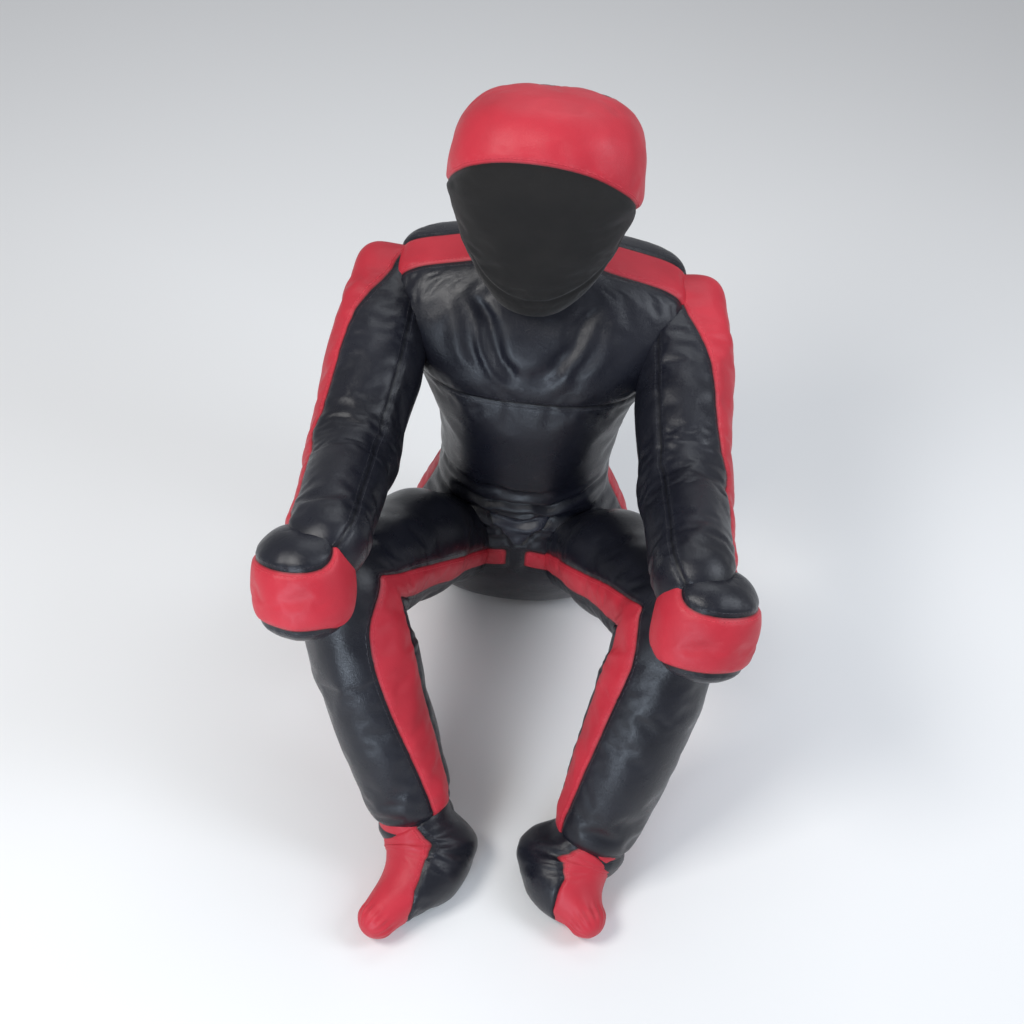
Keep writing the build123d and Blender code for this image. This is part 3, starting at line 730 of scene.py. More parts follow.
BLACK = leather("black_leather", (0.0088, 0.0096, 0.0158), (0.0050, 0.0055, 0.0095), (0.034, 0.037, 0.052), rough=0.315, coat=0.12, crinkle=0.18, shine=0.34)
RED = leather("red_leather", (0.52, 0.026, 0.044), (0.40, 0.018, 0.032), (0.60, 0.10, 0.115), rough=0.46, coat=0.04, crinkle=0.10, shine=0.32)
MATTE = woven("matte_black", (0.0068, 0.0062, 0.0062), (0.0125, 0.0115, 0.0112))
# belly triangle leather: a paler, bluish copy of the black leather, its base colour a painted sheen
BELLY_PAINTED_SHEEN = leather("belly_painted_sheen_leather", (0.019, 0.022, 0.036), (0.013, 0.015, 0.026), (0.050, 0.054, 0.074), rough=0.34, coat=0.14, crinkle=0.12, shine=0.42)
MATS = {"black_leather": BLACK, "red_leather": RED, "matte_black": MATTE}

made = []


def make_piece(me, name, slot_name, material=None):
    co = coords(me)
    r = me.attributes.get("rest") or me.attributes.new("rest", "FLOAT_VECTOR", "POINT")
    r.data.foreach_set("vector", co.astype(np.float32).reshape(-1))
    keep = {"rest", "sd", "along"}
    for n in [a.name for a in me.attributes if a.data_type == "FLOAT" and a.name not in keep]:
        me.attributes.remove(me.attributes[n])
    me.materials.clear()
    me.materials.append(material or MATS[slot_name])
    me.polygons.foreach_set("use_smooth", np.ones(len(me.polygons), bool))
    me.update()
    o = link(me, name)
    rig.slot(o, slot_name)
    made.append(o)
    return o


# --------------------------------------------------------------------------
# Legs
# --------------------------------------------------------------------------
def strip_distance(R, centre_dir, half_width):
    """Signed distance, in metres round the surface, to the edge of a strip that
    runs along the limb on the side of centre_dir; negative inside the strip.
    half_width is a function of s."""
    n, m = R["P"].shape[:2]
    side = centre_dir - R["N"] * (R["N"] @ centre_dir)[:, None]
    side /= np.linalg.norm(side, axis=1, keepdims=True)
    radial = R["P"] - R["C"][:, None, :]
    r = np.linalg.norm(radial, axis=2)
    radial = radial / r[..., None]
    ang = np.arccos(np.clip(np.einsum("nmk,nk->nm", radial, side), -1, 1))
    return ang * r - half_width(R["s"])[:, None]


def with_poles(grid, at_start, at_end):
    return np.concatenate([grid.reshape(-1), [at_start, at_end]])


def leg_sdf(hip, knee, ankle):
    """Thigh, bowed upwards by its stuffing, knee and shin as one surface."""
    u, v = unit(knee - hip), unit(ankle - knee)
    L1, L2 = np.linalg.norm(knee - hip), np.linalg.norm(ankle - knee)
    up = unit(np.array([0, 0, 1.0]) - u * u[2])
    h0, h1, h2 = hip + up * 0.022, hip + u * L1 * 0.48 + up * 0.034, knee + up * 0.002
    a = limb_sdf(h0, h1, [(0, 0.069), (L1 * 0.48, 0.072)])
    b = limb_sdf(h1, h2, [(0, 0.072), (L1 * 0.30, 0.071), (L1 * 0.52, 0.064)])
    c = limb_sdf(knee, ankle + v * 0.01, [(0, 0.065), (L2 * 0.3, 0.073), (L2 * 0.65, 0.068), (L2 * 0.88, 0.060), (L2, 0.053)])

    def f(p):
        return smin(smin(a(p), b(p), 0.03), c(p), 0.022)

    return f


# edges of the inner stripe: (distance from the hip, degrees round the leg from
# the outside of the knee bend)
STRIPE = {
    "right": (
        ((-0.10, 98), (0.0, 96), (0.12, 91), (0.24, 89), (0.33, 86), (0.406, 83), (0.441, 74), (0.471, 50), (0.500, 37), (0.54, 34), (0.60, 37), (0.66, 43), (0.726, 51), (0.80, 58)),
        ((-0.10, 116), (0.0, 117), (0.10, 115), (0.30, 116), (0.36, 119), (0.41, 124), (0.441, 121), (0.471, 115), (0.500, 104), (0.54, 95), (0.60, 93), (0.66, 94), (0.70, 97), (0.75, 100), (0.80, 101)),
    ),
    "left": (
        ((-0.10, 90), (0.0, 87), (0.12, 81), (0.24, 80), (0.33, 76), (0.40, 73), (0.44, 67), (0.470, 57), (0.50, 54), (0.55, 58), (0.60, 60), (0.66, 65), (0.74, 72), (0.80, 78)),
        ((-0.10, 110), (0.0, 109), (0.10, 108), (0.20, 105), (0.33, 108), (0.38, 117), (0.43, 121), (0.47, 118), (0.51, 109), (0.55, 105), (0.60, 106), (0.66, 109), (0.72, 114), (0.80, 113)),
    ),
}


def leg(side, sx):
    hip, knee, ankle = at(f"hip_flex_{side}"), at(f"knee_bend_{side}"), at(f"ankle_bend_{side}")
    u, v = unit(knee - hip), unit(ankle - knee)
    L1, L2 = np.linalg.norm(knee - hip), np.linalg.norm(ankle - knee)
    sdf = leg_sdf(hip, knee, ankle)

    fan = 0.135
    R = jointed_rings(hip, knee, ankle, None, fan, -0.0775, 0.048, 0.0085, sdf, 66, (0.05, 0.035))
    s, th, phi, beta = R["s"], R["th"], R["phi"], R["beta"]
    S = np.broadcast_to(s[:, None], R["t"].shape)
    TH = np.broadcast_to(th[None, :], R["t"].shape)
    # inner side of the bend is theta = pi
    inner = 0.5 - 0.5 * np.cos(TH)
    # transverse creases about the knee, strongest inside the bend
    pts = np.stack([S * 1.0, np.cos(TH) * 0.014 + sx * 0.3, np.sin(TH) * 0.014], -1).reshape(-1, 3)
    folds = ridged(pts, 42.0, 1.7 + sx).reshape(S.shape)
    knee_mask = bump(S, R["L1"], 0.085) * (0.25 + 0.75 * inner ** 1.2)
    ankle_mask = bump(S, R["L1"] + R["L2"] - 0.012, 0.034)
    hip_mask = bump(S, 0.07, 0.06) * 0.5
    slow = nz(np.stack([S * 0.8, np.cos(TH) * 0.06, np.sin(TH) * 0.06], -1).reshape(-1, 3), 11.0, 4.0 + sx).reshape(S.shape)
    move = 0.0042 * folds * knee_mask + 0.0026 * folds * ankle_mask + 0.0022 * folds * hip_mask + 0.0022 * slow
    move -= 0.0055 * bump(S, R["L1"] + R["L2"] - 0.004, 0.007)
    grid = R["P"] + R["D"] * move[..., None]
    # the panels: the inner red stripe swings to the front below the knee
    n = len(s)
    hi = np.interp(s, *zip(*STRIPE[side][0]))
    lo = np.interp(s, *zip(*STRIPE[side][1]))
    for arr in (hi, lo):
        for _ in range(12):
            arr[1:-1] = (arr[:-2] + 2 * arr[1:-1] + arr[2:]) / 4
    radial = R["P"] - R["C"][:, None, :]
    r = np.linalg.norm(radial, axis=2)
    turn = np.degrees(TH if sx > 0 else (2 * math.pi - TH) % (2 * math.pi))
    f_med = np.radians(np.abs(turn - ((hi + lo) / 2)[:, None]) - ((lo - hi) / 2)[:, None]) * r
    ang2 = np.radians(np.abs(turn - 238.0))
    half2 = np.interp(s, [-0.1, 0.1, R["L1"] * 0.8, R["L1"], R["L1"] + 0.03, R["L1"] + R["L2"]], [0.030, 0.028, 0.024, 0.021, 0.018, 0.016])
    f_lat = ang2 * r - half2[:, None]
    along = S
    p0, p1 = hip + u * -0.0790, ankle + v * 0.0515
    me = grid_mesh(f"leg_{side}", grid, p0, p1)
    f_end = S - (R["L1"] + R["L2"] - 0.004)
    for nm, g, e0, e1 in (("f_med", f_med, 0.05, 0.05), ("f_lat", f_lat, 0.05, 0.05), ("along", along, s[0], s[-1]), ("f_end", f_end, -1, 0.05)):
        add_float(me, nm, with_poles(g, e0, e1))
    seam_pin = np.minimum(np.abs(get_float(me, "f_med")), np.minimum(np.abs(get_float(me, "f_lat")), np.abs(get_float(me, "f_end"))))
    pin = 0.75 * np.exp(-((seam_pin / 0.007) ** 2))
    ss = get_float(me, "along")
    pin = np.maximum(pin, 1 - smoothstep(-0.05, 0.03, ss))
    pin = np.maximum(pin, smoothstep(R["L1"] + R["L2"] + 0.005, R["L1"] + R["L2"] + 0.02, ss))
    stuffed(me, pin, pressure=2.6)
    me = subdivide(me)
    me = cut(me, ["f_med", "f_lat"])
    finish_surface(me, ["f_med", "f_lat", "f_end"], "along", grain_seed=sx)
    fm, fl = face_mean(me, get_float(me, "f_med")), face_mean(me, get_float(me, "f_lat"))
    labels = np.where(fm < 0, "inner_stripe", np.where(fl < 0, "outer_stripe", "cover"))
    got = pieces_from(me, labels)
    start, end = knee - u * 0.06, knee + v * 0.06
    nodes = {"cover": [f"thigh_{side}_cover", f"shin_{side}_cover", f"thigh_{side}_stuffing", f"shin_{side}_stuffing", f"hip_joint_{side}"],
             "inner_stripe": [f"thigh_{side}_stripe", f"shin_{side}_stripe"], "outer_stripe": []}
    for lab, m2 in got.items():
        o = make_piece(m2, f"leg_{side}_{lab}", "black_leather" if lab == "cover" else "red_leather")
        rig.padded(o, fill=0.85)
        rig.blend(o, f"thigh_{side}", f"shin_{side}", start=tuple(start), end=tuple(end))
        if nodes[lab]:
            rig.replaces(o, *nodes[lab])


def sleeve_sdf(sh, el, sx):
    """The upper sleeve: round at the elbow, squarer at its sewn shoulder cap."""
    d = el - sh
    L = np.linalg.norm(d)
    d = d / L
    ex = unit(np.array([sx, 0, 0.0]) - d * (d[0] * sx))
    ez = np.cross(ex, d)

    def f(p):
        w = p - sh
        t = w @ d
        x, z = w @ ex - 0.008 * (1 - smoothstep(0.02, 0.17, t)), w @ ez
        q = 2.0 + 1.3 * (1 - smoothstep(0.0, 0.16, t))
        rad = (np.abs(x) ** q + np.abs(z) ** q + 1e-12) ** (1 / q)
        rr = np.interp(np.clip(t, 0, L), [0, 0.05, 0.14, L], [0.054, 0.060, 0.067, 0.060])
        body = rad - rr
        over = np.maximum(t - L, 0)
        cap = ((np.maximum(-t, 0) / 0.058) ** 3.0 + (rad / rr) ** 3.0 + 1e-12) ** (1 / 3.0) - 1
        tail = np.sqrt(over ** 2 + rad ** 2) - rr
        return np.where(t < 0, cap * 0.054, np.where(t > L, tail, body))

    return f


def arm(side, sx):
    sh, el, wr = at(f"shoulder_swing_{side}"), at(f"elbow_bend_{side}"), at(f"wrist_bend_{side}")
    u, v = unit(el - sh), unit(wr - el)
    L1, L2 = np.linalg.norm(el - sh), np.linalg.norm(wr - el)
    upper = sleeve_sdf(sh, el, sx)
    fore = limb_sdf(el, wr, [(0, 0.059), (L2 * 0.4, 0.058), (L2, 0.051)])

    def sdf(p):
        return smin(upper(p), fore(p), 0.02)

    R = jointed_rings(sh, el, wr, None, 0.22, -0.0570, 0.046, 0.008, sdf, 60, (0.045, 0.03))
    s = R["s"]
    S = np.broadcast_to(s[:, None], R["t"].shape)
    TH = np.broadcast_to(R["th"][None, :], R["t"].shape)
    inner = 0.5 - 0.5 * np.cos(TH)
    pts = np.stack([S, np.cos(TH) * 0.013 + sx * 0.2, np.sin(TH) * 0.013], -1).reshape(-1, 3)
    folds = ridged(pts, 46.0, 7.7 + sx).reshape(S.shape)
    slow = nz(np.stack([S * 0.8, np.cos(TH) * 0.06, np.sin(TH) * 0.06], -1).reshape(-1, 3), 12.0, 5.0 + sx).reshape(S.shape)
    move = 0.0022 * folds * bump(S, L1, 0.05) * (0.15 + 0.85 * inner) + 0.0034 * folds * bump(S, L1 + L2 - 0.015, 0.035) + 0.0024 * slow
    move += 0.0016 * folds * bump(S, 0.06, 0.05)
    grid = R["P"] + R["D"] * move[..., None]
    lift = np.interp(s, [-0.06, 0.06, L1, L1 + L2], [0.42, 0.40, 0.22, 0.14] if sx > 0 else [0.30, 0.22, 0.16, 0.20])
    out_dir = np.stack([np.full_like(s, sx), np.zeros_like(s), lift], 1)
    side_dir = out_dir - R["N"] * np.einsum("nk,nk->n", R["N"], out_dir)[:, None]
    side_dir /= np.linalg.norm(side_dir, axis=1, keepdims=True)
    radial = R["P"] - R["C"][:, None, :]
    r = np.linalg.norm(radial, axis=2)
    ang = np.arccos(np.clip(np.einsum("nmk,nk->nm", radial / r[..., None], side_dir), -1, 1))
    half = np.interp(s, [-0.07, 0.02, 0.10, L1, L1 + L2 * 0.5, L1 + L2], [0.080, 0.068, 0.052, 0.031, 0.018, 0.012])
    f_out = ang * r - half[:, None]
    # seam along the inner arm
    in_dir = unit(np.array([-sx * 0.62, -0.05, 0.80]))
    ind = in_dir - R["N"] * (R["N"] @ in_dir)[:, None]
    ind /= np.linalg.norm(ind, axis=1, keepdims=True)
    e2 = np.cross(R["N"], ind)
    f_in = np.einsum("nmk,nk->nm", radial, e2)
    facing = np.einsum("nmk,nk->nm", radial, ind)
    f_in = np.where(facing > 0, f_in, np.sign(f_in + 1e-9) * 0.05)
    add = [("f_out", f_out, 0.02, 0.05), ("f_in", f_in, 0.05, 0.05), ("along", S, s[0], s[-1])]
    me = grid_mesh(f"arm_{side}", grid, sh - u * 0.0580, wr + v * 0.0498)
    for nm, g, e0, e1 in add:
        add_float(me, nm, with_poles(g, e0, e1))
    near = np.minimum(np.abs(get_float(me, "f_out")), np.abs(get_float(me, "f_in")))
    pin = 0.75 * np.exp(-((near / 0.007) ** 2))
    ss = get_float(me, "along")
    pin = np.maximum(pin, 1 - smoothstep(-0.04, 0.02, ss))
    pin = np.maximum(pin, smoothstep(L1 + L2 + 0.0, L1 + L2 + 0.02, ss))
    stuffed(me, pin, pressure=2.6)
    me = subdivide(me)
    me = cut(me, ["f_out"])
    finish_surface(me, ["f_out", "f_in"], "along", grain_seed=3 + sx)
    fo = face_mean(me, get_float(me, "f_out"))
    got = pieces_from(me, np.where(fo < 0, "stripe", "sleeve"))
    nodes = {"sleeve": [f"upper_arm_{side}_cover", f"forearm_{side}_cover", f"upper_arm_{side}_stuffing", f"forearm_{side}_stuffing", f"shoulder_joint_{side}"],
             "stripe": [f"upper_arm_{side}_stripe", f"forearm_{side}_stripe"]}
    for lab, m2 in got.items():
        o = make_piece(m2, f"arm_{side}_{lab}", "black_leather" if lab == "sleeve" else "red_leather")
        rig.padded(o, fill=0.85)
        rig.blend(o, f"upper_arm_{side}", f"forearm_{side}", start=tuple(el - u * 0.05), end=tuple(el + v * 0.05))
        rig.replaces(o, *nodes[lab])


# --------------------------------------------------------------------------
# Hands: drum-shaped stuffed fists with a wide band
# --------------------------------------------------------------------------
def hand(side, sx):
    lo, hi = (np.array(v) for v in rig.box(f"hand_{side}_band"))
    wr = at(f"wrist_bend_{side}")
    # the drum's centre, from the band's box, and a given axis
    cb = sum(np.array(v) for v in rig.box(f"hand_{side}_back")) / 2
    cp = sum(np.array(v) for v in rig.box(f"hand_{side}_palm")) / 2
    centre = (lo + hi) / 2
    axis = unit(np.array([0.06 * sx, 0.46, 0.88]))
    to_wrist = unit((wr - centre) - axis * ((wr - centre) @ axis))
    e2 = np.cross(axis, to_wrist)
    m = 72
    n = 46
    al = np.linspace(-math.pi / 2, math.pi / 2, n + 2)[1:-1]
    th = np.linspace(0, 2 * math.pi, m, endpoint=False)
    A, T = np.meshgrid(al, th, indexing="ij")
    # rounded drum: superellipse section
    p = 2.7
    ca, sa = np.abs(np.cos(A)), np.abs(np.sin(A))
    k = (ca ** p + sa ** p) ** (-1 / p)
    rad, hgt = 0.0645 * k * np.cos(A), np.where(A > 0, 0.0760, 0.0600) * k * np.sin(A)
    rad = rad * (1 + 0.03 * np.cos(T) - 0.02 * np.cos(2 * T + 0.6))
    d = to_wrist[None, None] * np.cos(T)[..., None] + e2[None, None] * np.sin(T)[..., None]
    P = centre + d * rad[..., None] + axis * hgt[..., None]
    wob = nz(P.reshape(-1, 3), 24.0, 2.0 + sx).reshape(A.shape)
    P = P + (d * np.cos(A)[..., None] + axis * np.sin(A)[..., None]) * (0.0022 * wob)[..., None]
    # band edges; the band flares to a tip on the inner (medial) side
    medial = np.array([-sx * 0.90, -0.42, 0.0])
    mdir = unit(medial - axis * (medial @ axis))
    cosm = np.einsum("nmk,k->nm", d, mdir)
    tip = np.exp(-np.abs(np.arccos(np.clip(cosm, -1, 1)) / 0.36) ** 1.4)
    f_top = hgt - (0.041 + 0.024 * tip)
    f_bot = -hgt - (0.036 + 0.010 * tip)
    me = grid_mesh(f"hand_{side}", P, centre - axis * 0.0600, centre + axis * 0.0760)
    along = T * 0.066
    for nm, g, e0, e1 in (("f_top", f_top, -0.08, 0.02), ("f_bot", f_bot, 0.02, -0.08), ("along", along, 0, 0)):
        add_float(me, nm, with_poles(g, e0, e1))
    near = np.minimum(np.abs(get_float(me, "f_top")), np.abs(get_float(me, "f_bot")))
    stuffed(me, 0.8 * np.exp(-((near / 0.006) ** 2)), pressure=3.0, cap=0.005)
    me = subdivide(me)
    me = cut(me, ["f_top", "f_bot"])
    finish_surface(me, ["f_top", "f_bot"], "along", groove=0.0026, pucker=0.0015, grain_seed=6 + sx)
    ft, fb = face_mean(me, get_float(me, "f_top")), face_mean(me, get_float(me, "f_bot"))
    got = pieces_from(me, np.where(ft > 0, "back", np.where(fb > 0, "palm", "band")))
    for lab, m2 in got.items():
        o = make_piece(m2, f"hand_{side}_{lab}_skin", "red_leather" if lab == "band" else "black_leather")
        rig.padded(o, fill=0.9)
        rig.ride(o, f"hand_{side}")
        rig.replaces(o, f"hand_{side}_{lab}", *([f"hand_{side}_stuffing"] if lab == "band" else []))


# --------------------------------------------------------------------------
# Feet: blunt stuffed socks
# --------------------------------------------------------------------------
def foot(side, sx):
    pts = np.concatenate([coords(frame["nodes"][f"foot_{side}_sock"].data), coords(frame["nodes"][f"foot_{side}_top"].data)])
    ylo, yhi = pts[:, 1].min(), pts[:, 1].max()
    toe = pts[pts[:, 1] < ylo + 0.0004].mean(0) + np.array([0, 0.040, 0])
    heel = pts[pts[:, 1] > yhi - 0.0004].mean(0) - np.array([0, 0.047, 0])
    toe += np.array([0.014 * sx, 0.004 if sx < 0 else 0.012, -0.027])
    heel += np.array([0.004 * sx, -0.004, -0.002])
    ankle = at(f"ankle_bend_{side}")
    shin_dir = unit(ankle - at(f"knee_bend_{side}"))
    d = unit(toe - heel)
    L = np.linalg.norm(toe - heel)
    sole = limb_sdf(heel, toe, [(0, 0.0385), (L * 0.35, 0.0430), (L * 0.70, 0.0360), (L, 0.0265)])
    post = limb_sdf(ankle - shin_dir * 0.004, heel + d * 0.045, [(0, 0.0500), (0.05, 0.0465), (0.2, 0.040)])

    def sdf(p):
        g = smin(sole(p), post(p), 0.030)
        return -smin(-g, p[..., 2] - 0.0012, 0.006)

    # rings from the ankle opening round the heel to the toe
    mid = heel + d * 0.012
    R = jointed_rings(ankle - shin_dir * 0.010, mid, toe, None, 0.10, -0.0505, 0.0255, 0.0055, sdf, 64, (0.03, 0.026))
    s = R["s"]
    S = np.broadcast_to(s[:, None], R["t"].shape)
    TH = np.broadcast_to(R["th"][None, :], R["t"].shape)
    pts2 = np.stack([S, np.cos(TH) * 0.015, np.sin(TH) * 0.015], -1).reshape(-1, 3)
    folds = ridged(pts2, 50.0, 2.2 + sx).reshape(S.shape)
    Lt = R["L1"] + R["L2"]
    move = 0.0016 * nz(R["P"].reshape(-1, 3), 26.0, sx).reshape(S.shape) + 0.0022 * folds * bump(S, R["L1"], 0.035)
    # gathers at the toe cap seam
    move += 0.0012 * np.cos(TH * 15 + 1.3) * bump(S, Lt + 0.006, 0.012)
    move -= 0.003 * bump(S, 0.012, 0.006)
    move = np.where(R["P"][..., 2] < 0.004, 0, move)
    grid = R["P"] + R["D"] * move[..., None]
    up = unit(np.array([0.95 * sx, -0.10, 0.60]))
    C = R["C"]
    rel = grid - C[:, None, :]
    # dorsum direction: away from the sole, turned a little outwards
    dors = up - R["N"] * (R["N"] @ up)[:, None]
    front = unit(d - shin_dir * (d @ shin_dir) + np.array([0.45 * sx, 0, 0]))
    dors = np.where((R["phi"] <= 1e-9)[:, None], front[None] - R["N"] * (R["N"] @ front)[:, None], dors)
    w = (R["phi"] / max(R["beta"], 1e-6))[:, None]
    front_s = front[None] - R["N"] * (R["N"] @ front)[:, None]
    up_s = up - R["N"] * (R["N"] @ up)[:, None]
    dors = front_s * (1 - w) + up_s * w
    dors /= np.linalg.norm(dors, axis=1, keepdims=True)
    r = np.linalg.norm(rel, axis=2)
    ang = np.arccos(np.clip(np.einsum("nmk,nk->nm", rel / r[..., None], dors), -1, 1))
    half = np.interp(s, [-0.05, R["L1"], Lt - 0.090, Lt - 0.050, Lt - 0.028, Lt - 0.010, Lt + 0.05], [0.050, 0.057, 0.055, 0.057, 0.076, 0.14, 0.2])
    f_top = ang * r - half[:, None]
    me = grid_mesh(f"foot_{side}", grid, ankle - shin_dir * 0.0605, toe + d * 0.0265)
    f_cap = S - (Lt - 0.004)
    for nm, g, e0, e1 in (("f_top", f_top, 0.05, -0.05), ("f_cap", f_cap, -0.2, 0.06), ("along", S, s[0], s[-1])):
        add_float(me, nm, with_poles(g, e0, e1))
    co = coords(me)
    pin = 0.75 * np.exp(-((np.abs(get_float(me, "f_top")) / 0.006) ** 2))
    pin = np.maximum(pin, 1 - smoothstep(0.002, 0.010, co[:, 2]))
    pin = np.maximum(pin, 1 - smoothstep(-0.03, 0.005, get_float(me, "along")))
    stuffed(me, pin, pressure=2.2, cap=0.004)
    me = subdivide(me)
    me = cut(me, ["f_top"])
    finish_surface(me, ["f_top"], "along", grain_seed=8 + sx)
    co = coords(me)
    co[:, 2] = np.maximum(co[:, 2], 0.0004)
    set_coords(me, co)
    got = pieces_from(me, np.where(face_mean(me, get_float(me, "f_top")) < 0, "top", "sock"))
    for lab, m2 in got.items():
        o = make_piece(m2, f"foot_{side}_{lab}_skin", "red_leather" if lab == "top" else "black_leather")
        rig.padded(o, fill=0.85)
        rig.ride(o, f"foot_{side}")
        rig.replaces(o, f"foot_{side}_{lab}", *([f"foot_{side}_stuffing"] if lab == "sock" else []))


# --------------------------------------------------------------------------
# Torso and pelvis: one sewn bag that bends at the waist
# --------------------------------------------------------------------------
def torso():
    waist = at("waist_bend")
    tab = np.array([
        # z, half width, front y, back y, squareness
        (0.0012, 0.096, 0.016, 0.100, 2.2),
        (0.006, 0.114, 0.004, 0.118, 2.2),
        (0.020, 0.138, -0.014, 0.136, 2.25),
        (0.045, 0.156, -0.030, 0.148, 2.3),
        (0.080, 0.167, -0.046, 0.154, 2.3),
        (0.120, 0.173, -0.060, 0.155, 2.3),
        (0.165, 0.171, -0.066, 0.152, 2.25),
        (0.200, 0.161, -0.060, 0.148, 2.25),
        (0.235, 0.145, -0.053, 0.144, 2.25),
        (0.268, 0.131, -0.050, 0.142, 2.3),
        (0.310, 0.127, -0.054, 0.144, 2.3),
        (0.380, 0.133, -0.062, 0.151, 2.3),
        (0.430, 0.143, -0.064, 0.158, 2.4),
        (0.470, 0.158, -0.058, 0.164, 2.55),
        (0.505, 0.178, -0.050, 0.170, 2.9),
        (0.540, 0.194, -0.038, 0.174, 3.2),
        (0.572, 0.202, -0.020, 0.177, 3.4),
        (0.598, 0.204, 0.000, 0.178, 3.4),
        (0.615, 0.199, 0.013, 0.176, 3.2),
        (0.628, 0.182, 0.021, 0.171, 2.9),
        (0.637, 0.154, 0.027, 0.163, 2.6),
        (0.644, 0.122, 0.030, 0.153, 2.3),
        (0.652, 0.092, 0.030, 0.143, 2.1),
        (0.663, 0.070, 0.026, 0.132, 2.0),
        (0.674, 0.060, 0.022, 0.124, 2.0),
    ])
    z = [tab[0, 0]]
    while z[-1] < 0.674:
        step = float(np.interp(z[-1], [0, 0.02, 0.05, 0.15, 0.17, 0.34, 0.36, 0.52, 0.56, 0.60, 0.66], [0.003, 0.006, 0.009, 0.009, 0.0050, 0.0050, 0.0075, 0.0075, 0.006, 0.0032, 0.004]))
        z.append(min(z[-1] + step, 0.674))
    z = np.array(z)
    a = np.interp(z, tab[:, 0], tab[:, 1]); yf = np.interp(z, tab[:, 0], tab[:, 2]); yb = np.interp(z, tab[:, 0], tab[:, 3]); q = np.interp(z, tab[:, 0], tab[:, 4])
    # soften the table's corners
    for arr in (a, yf, yb):
        for _ in range(3):
            arr[1:-1] = (arr[:-2] + 2 * arr[1:-1] + arr[2:]) / 4
    m = 150
    th = np.linspace(0, 2 * math.pi, m, endpoint=False)
    Z, T = np.meshgrid(z, th, indexing="ij")
    c, s_ = np.cos(T), np.sin(T)
    e = (2 / q)[:, None]
    X = a[:, None] * np.sign(c) * np.abs(c) ** e
    yc = (yf + yb) / 2
    Y = yc[:, None] + ((yb - yf) / 2)[:, None] * np.sign(s_) * np.abs(s_) ** e
    P = np.stack([X, Y, Z], -1)
    # outward direction in plan
    D = np.stack([c, s_, np.zeros_like(c)], -1)
    front = smoothstep(0.15, 0.75, -s_)
    move = np.zeros_like(Z)
    # smile-shaped folds across the belly, deep at the waist and fading to each side
    for zf, amp, wd, sag, tilt, x0, w in (
        (0.322, 0.0050, 0.0080, 0.010, 0.05, -0.030, 0.070),
        (0.300, 0.0085, 0.0070, 0.020, 0.03, 0.010, 0.105),
        (0.281, 0.0070, 0.0055, 0.024, -0.05, 0.028, 0.062),
        (0.268, 0.0110, 0.0075, 0.026, -0.02, -0.004, 0.110),
        (0.246, 0.0055, 0.0070, 0.022, 0.06, -0.022, 0.072),
        (0.222, 0.0040, 0.0080, 0.012, -0.01, 0.006, 0.100),
    ):
        wob = 0.0030 * np.sin(X * 61 + zf * 90) + 0.0016 * np.sin(X * 133 + zf * 40)
        line = zf - sag * (1 - (X / 0.13) ** 2) + tilt * X + wob
        reach = np.exp(-(((X - x0) / w) ** 4))
        move += front * reach * (-amp * bump(Z, line, wd) + 0.42 * amp * (bump(Z, line + 1.7 * wd, wd) + bump(Z, line - 1.7 * wd, wd)))
    # soft folds at the back of the waist
    back = smoothstep(0.2, 0.8, s_)
    for zf, amp in ((0.285, 0.005), (0.235, 0.004)):
        move += back * (-amp * bump(Z, zf + 0.01 * np.cos(X * 20), 0.009))
    # two pairs of creases that run in from the collar to the middle of the yoke
    for sx in (-1, 1):
        for x0, run, z_lo, amp, wd in ((0.032 if sx < 0 else 0.022, 0.60, 0.505, 0.0130, 0.0105), (0.066 if sx < 0 else 0.054, 0.46, 0.520, 0.0065, 0.0110)):
            line = sx * (x0 + (Z - 0.525) * run) + 0.003 * np.sin(Z * 90 + sx)
            m_ = smoothstep(z_lo, z_lo + 0.030, Z) * (1 - smoothstep(0.596, 0.618, Z)) * smoothstep(0.3, 0.8, -s_)
            move += m_ * (-amp * bump(X, line, wd) + 0.45 * amp * bump(X, line + sx * 0.020, 0.012) + 0.40 * amp * bump(X, line - sx * 0.020, 0.012))
    # drags from the armpits
    pts = P.reshape(-1, 3)
    dr = ridged(np.stack([pts[:, 0] * 0.5 + pts[:, 2] * 0.9, pts[:, 1] * 0.4, pts[:, 2] * 0.25], 1), 26.0, 1.0).reshape(Z.shape)
    move += 0.0024 * dr * smoothstep(0.05, 0.15, np.abs(X)) * bump(Z, 0.44, 0.09)
    slow = nz(pts, 9.0, 2.0).reshape(Z.shape)
    small = nz(pts, 27.0, 5.0).reshape(Z.shape)
    move += 0.0026 * slow + 0.0004 * small
    move *= smoothstep(0.0, 0.03, Z)
    P = P + D * move[..., None]
    # fields
    ax = np.abs(X)
    seam_y = 0.0610 - 0.0105 * smoothstep(0.52, 0.57, Z)
    f_side = Y - seam_y
    yoke_z = 0.489 - 0.004 * (1 - (X / 0.15) ** 2)
    f_yoke = np.where(Y < seam_y, Z - yoke_z, 0.2)
    # crotch stripes: red either side of the middle band
    f_cr = np.maximum(np.maximum(0.0145 - ax, ax - 0.085), np.maximum(np.abs(Z - (0.178 - ax * 0.25)) - 0.0175, Y - 0.02))
    # red side strip from waist to seat
    f_hip = np.maximum(np.abs(Y - 0.060) - 0.0235, Z - 0.292)
    f_hip = np.where(ax > 0.06, f_hip, 0.2)
    # red strap over each shoulder
    f_str = np.maximum(np.maximum(seam_y + 0.0002 - Y, Y - 0.112), np.maximum(0.570 - Z, 0.070 - ax))
